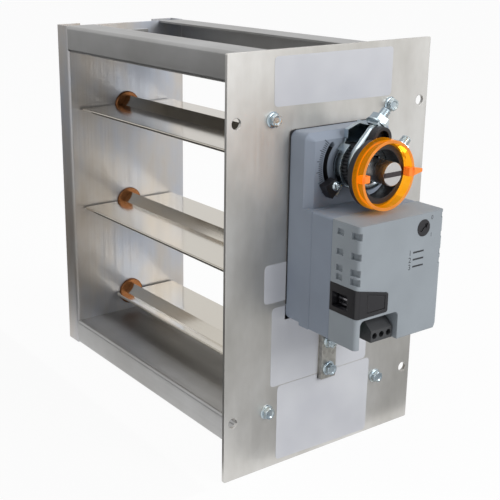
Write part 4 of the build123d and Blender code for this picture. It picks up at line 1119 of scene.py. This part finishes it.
# %% Number the wires
wire_count = 3
first_row_drop = 0.0135
row_pitch = 0.0042
wire_number_size = 0.0046
wire_number_y = 0.0068
line_start = 0.0092
line_end = 0.0178
line_half = 0.0005
line_corner = 0.0002
for number in range(wire_count):
    row_z = dial_centre.z - first_row_drop - number * row_pitch
    printed(f"wire_number_{number + 1}", str(number + 1), wire_number_size,
            Vector((print_x, wire_number_y, row_z)))
    name = f"wire_line_{number + 1}"
    line = [(line_start, row_z - line_half, line_corner), (line_end, row_z - line_half, line_corner),
            (line_end, row_z + line_half, line_corner), (line_start, row_z + line_half, line_corner)]
    line_mesh = plate_of(name, line, print_x, print_thickness)
    add_piece(name, line_mesh, print_black, "frame")
print("wires numbered:", wire_count)

# %% [markdown]
# ## Blank stickers
# The cover plate carries four thin polyester stickers, left blank here. They could be painted into the
# plate's finish, but a sticker has an edge and another gloss, so each is a plate of a tenth of a
# millimetre. The corners are rounded where they are free and square where the actuator or its strap lies
# on the sticker. The strap splits one sticker into two pieces, so that nothing passes through it.
# %% Mix the stickers' white
label_white = Finish("blank_label", from_hex("#CBCCD2"), 0.0, 0.42)
label_cloud = label_white.noise(label_white.stretched(25, 25, 25), detail=2)
label_white.tint(label_cloud, (0.3, from_hex("#C4C5CB")), (0.7, from_hex("#D1D2D6")))
print("sticker white mixed")

# %% Stick the labels
label_thickness = 0.0001
turn_in = 0.003
cut = 0.0
strap_low, strap_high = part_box("anti_rotation_strap")
strap_gap = 0.0004
strap_left = strap_low.y - strap_gap
strap_right = strap_high.y + strap_gap
strap_foot = strap_low.z - strap_gap
case_left = base_low.y - strap_gap
case_foot = base_low.z - strap_gap
label_outlines = {
    "top_label": [(-0.0452, 0.0980, turn_in), (0.0464, 0.0965, turn_in), (0.0464, 0.1262, turn_in),
                  (-0.0457, 0.1262, turn_in)],
    "side_label": [(-0.0498, -0.0200, turn_in), (case_left, -0.0200, cut), (case_left, 0.0044, cut),
                   (-0.0498, 0.0044, turn_in)],
    "middle_label_left": [(-0.0435, -0.0755, turn_in), (strap_left, -0.0755, cut),
                          (strap_left, case_foot, cut), (case_left, case_foot, cut),
                          (case_left, -0.0236, cut), (-0.0435, -0.0236, turn_in)],
    "middle_label_right": [(strap_right, -0.0755, cut), (0.0363, -0.0755, turn_in),
                           (0.0363, case_foot, cut), (strap_right, case_foot, cut)],
    "bottom_label": [(-0.0378, -0.1268, turn_in), (0.0395, -0.1285, turn_in), (0.0400, -0.0760, turn_in),
                     (strap_right, -0.0760, cut), (strap_right, strap_foot, cut),
                     (strap_left, strap_foot, cut), (strap_left, -0.0760, cut),
                     (-0.0378, -0.0760, turn_in)],
}
for name, outline in label_outlines.items():
    add_piece(name, plate_of(name, outline, plate_face_x, label_thickness), label_white, "frame")
print("sticker pieces:", len(label_outlines))

# %% [markdown]
# ## Painted shadow seam behind the actuator
# A thin dark strip between the actuator and the plate paints the shadow seam, a fine dark line round the
# case.
# A dark edge could be painted on the case, but a real plate behind it also takes the case's shadow, so
# the strip stands proud by less than half a millimetre. It ends above the case's foot, at the strap.
# %% Lay the painted shadow seam
# The dark strip paints the shadow seam where the actuator's case meets the plate.
shade_seam_proud = 0.0004
shade_seam_thickness = 0.0008
shade_seam_corner = 0.001
shade_seam_foot = base_low.z + 0.0095
shade_seam_left = base_low.y - shade_seam_proud
shade_seam_right = base_high.y + shade_seam_proud
shade_seam_top = base_high.z + shade_seam_proud
shade_seam_outline = [(shade_seam_left, shade_seam_foot, shade_seam_corner), (shade_seam_right, shade_seam_foot, shade_seam_corner),
                  (shade_seam_right, shade_seam_top, turn_in), (shade_seam_left, shade_seam_top, turn_in)]
shade_seam_mesh = plate_of("actuator_shade_seam", shade_seam_outline, plate_face_x, shade_seam_thickness)
add_piece("actuator_shade_seam", shade_seam_mesh, soft_black, "frame")
print("painted_seam", round(1000 * (shade_seam_right - shade_seam_left), 1), "mm wide")

# %% [markdown]
# ## Lining behind the vents
# The cover's side has a row of vents, which show as shallow grey recesses. In the CAD model they open into
# a dark, empty case. The recesses could be cut shallower there, but the air has to pass, so one thin block
# in the case's own grey stands close behind them and gives them their floor.
# %% Line the vents
cover_low, cover_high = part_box("actuator_cover")
liner_low = Vector((cover_high.x - 0.0075, cover_low.y + 0.00205, cover_high.z - 0.0358))
liner_high = Vector((cover_high.x - 0.0022, cover_low.y + 0.0026, cover_high.z - 0.0030))
liner_mesh = softened_blocks("vent_liner", [(liner_low, liner_high)], 0.0001)
add_piece("vent_liner", liner_mesh, case_grey, "frame")
print("lining", round(1000 * (liner_high.z - liner_low.z), 1), "mm high")

# %% [markdown]
# ## Paint in the shaft's slot
# The slot in the shaft's end lies in line with the blade and is filled with dark paint, so that the
# blade's position can be read from afar. Paint fills a slot level, so it is a plate that ends just under
# the shaft's face.
# %% Paint the shaft's slot
slot_paint = Finish("slot_paint", from_hex("#2B2226"), 0.0, 0.45)
paint_wear = slot_paint.noise(slot_paint.stretched(1200, 1200, 1200), detail=2)
slot_paint.tint(paint_wear, (0.3, from_hex("#241C20")), (0.7, from_hex("#382C30")))
slot_half = 0.00143
paint_corner = 0.0001
paint_thickness = 0.0007
slot_floor_x = shaft_high.x - 0.0008
chord = shaft_radius - 0.0006
slot_outline = [(axis_y - chord, axis_z - slot_half, paint_corner),
                (axis_y + chord, axis_z - slot_half, paint_corner),
                (axis_y + chord, axis_z + slot_half, paint_corner),
                (axis_y - chord, axis_z + slot_half, paint_corner)]
painted_slot = plate_of("painted_slot", slot_outline, slot_floor_x, paint_thickness)
add_piece("painted_slot", painted_slot, slot_paint, "drive")
print("slot painted over", round(2000 * chord, 1), "mm")
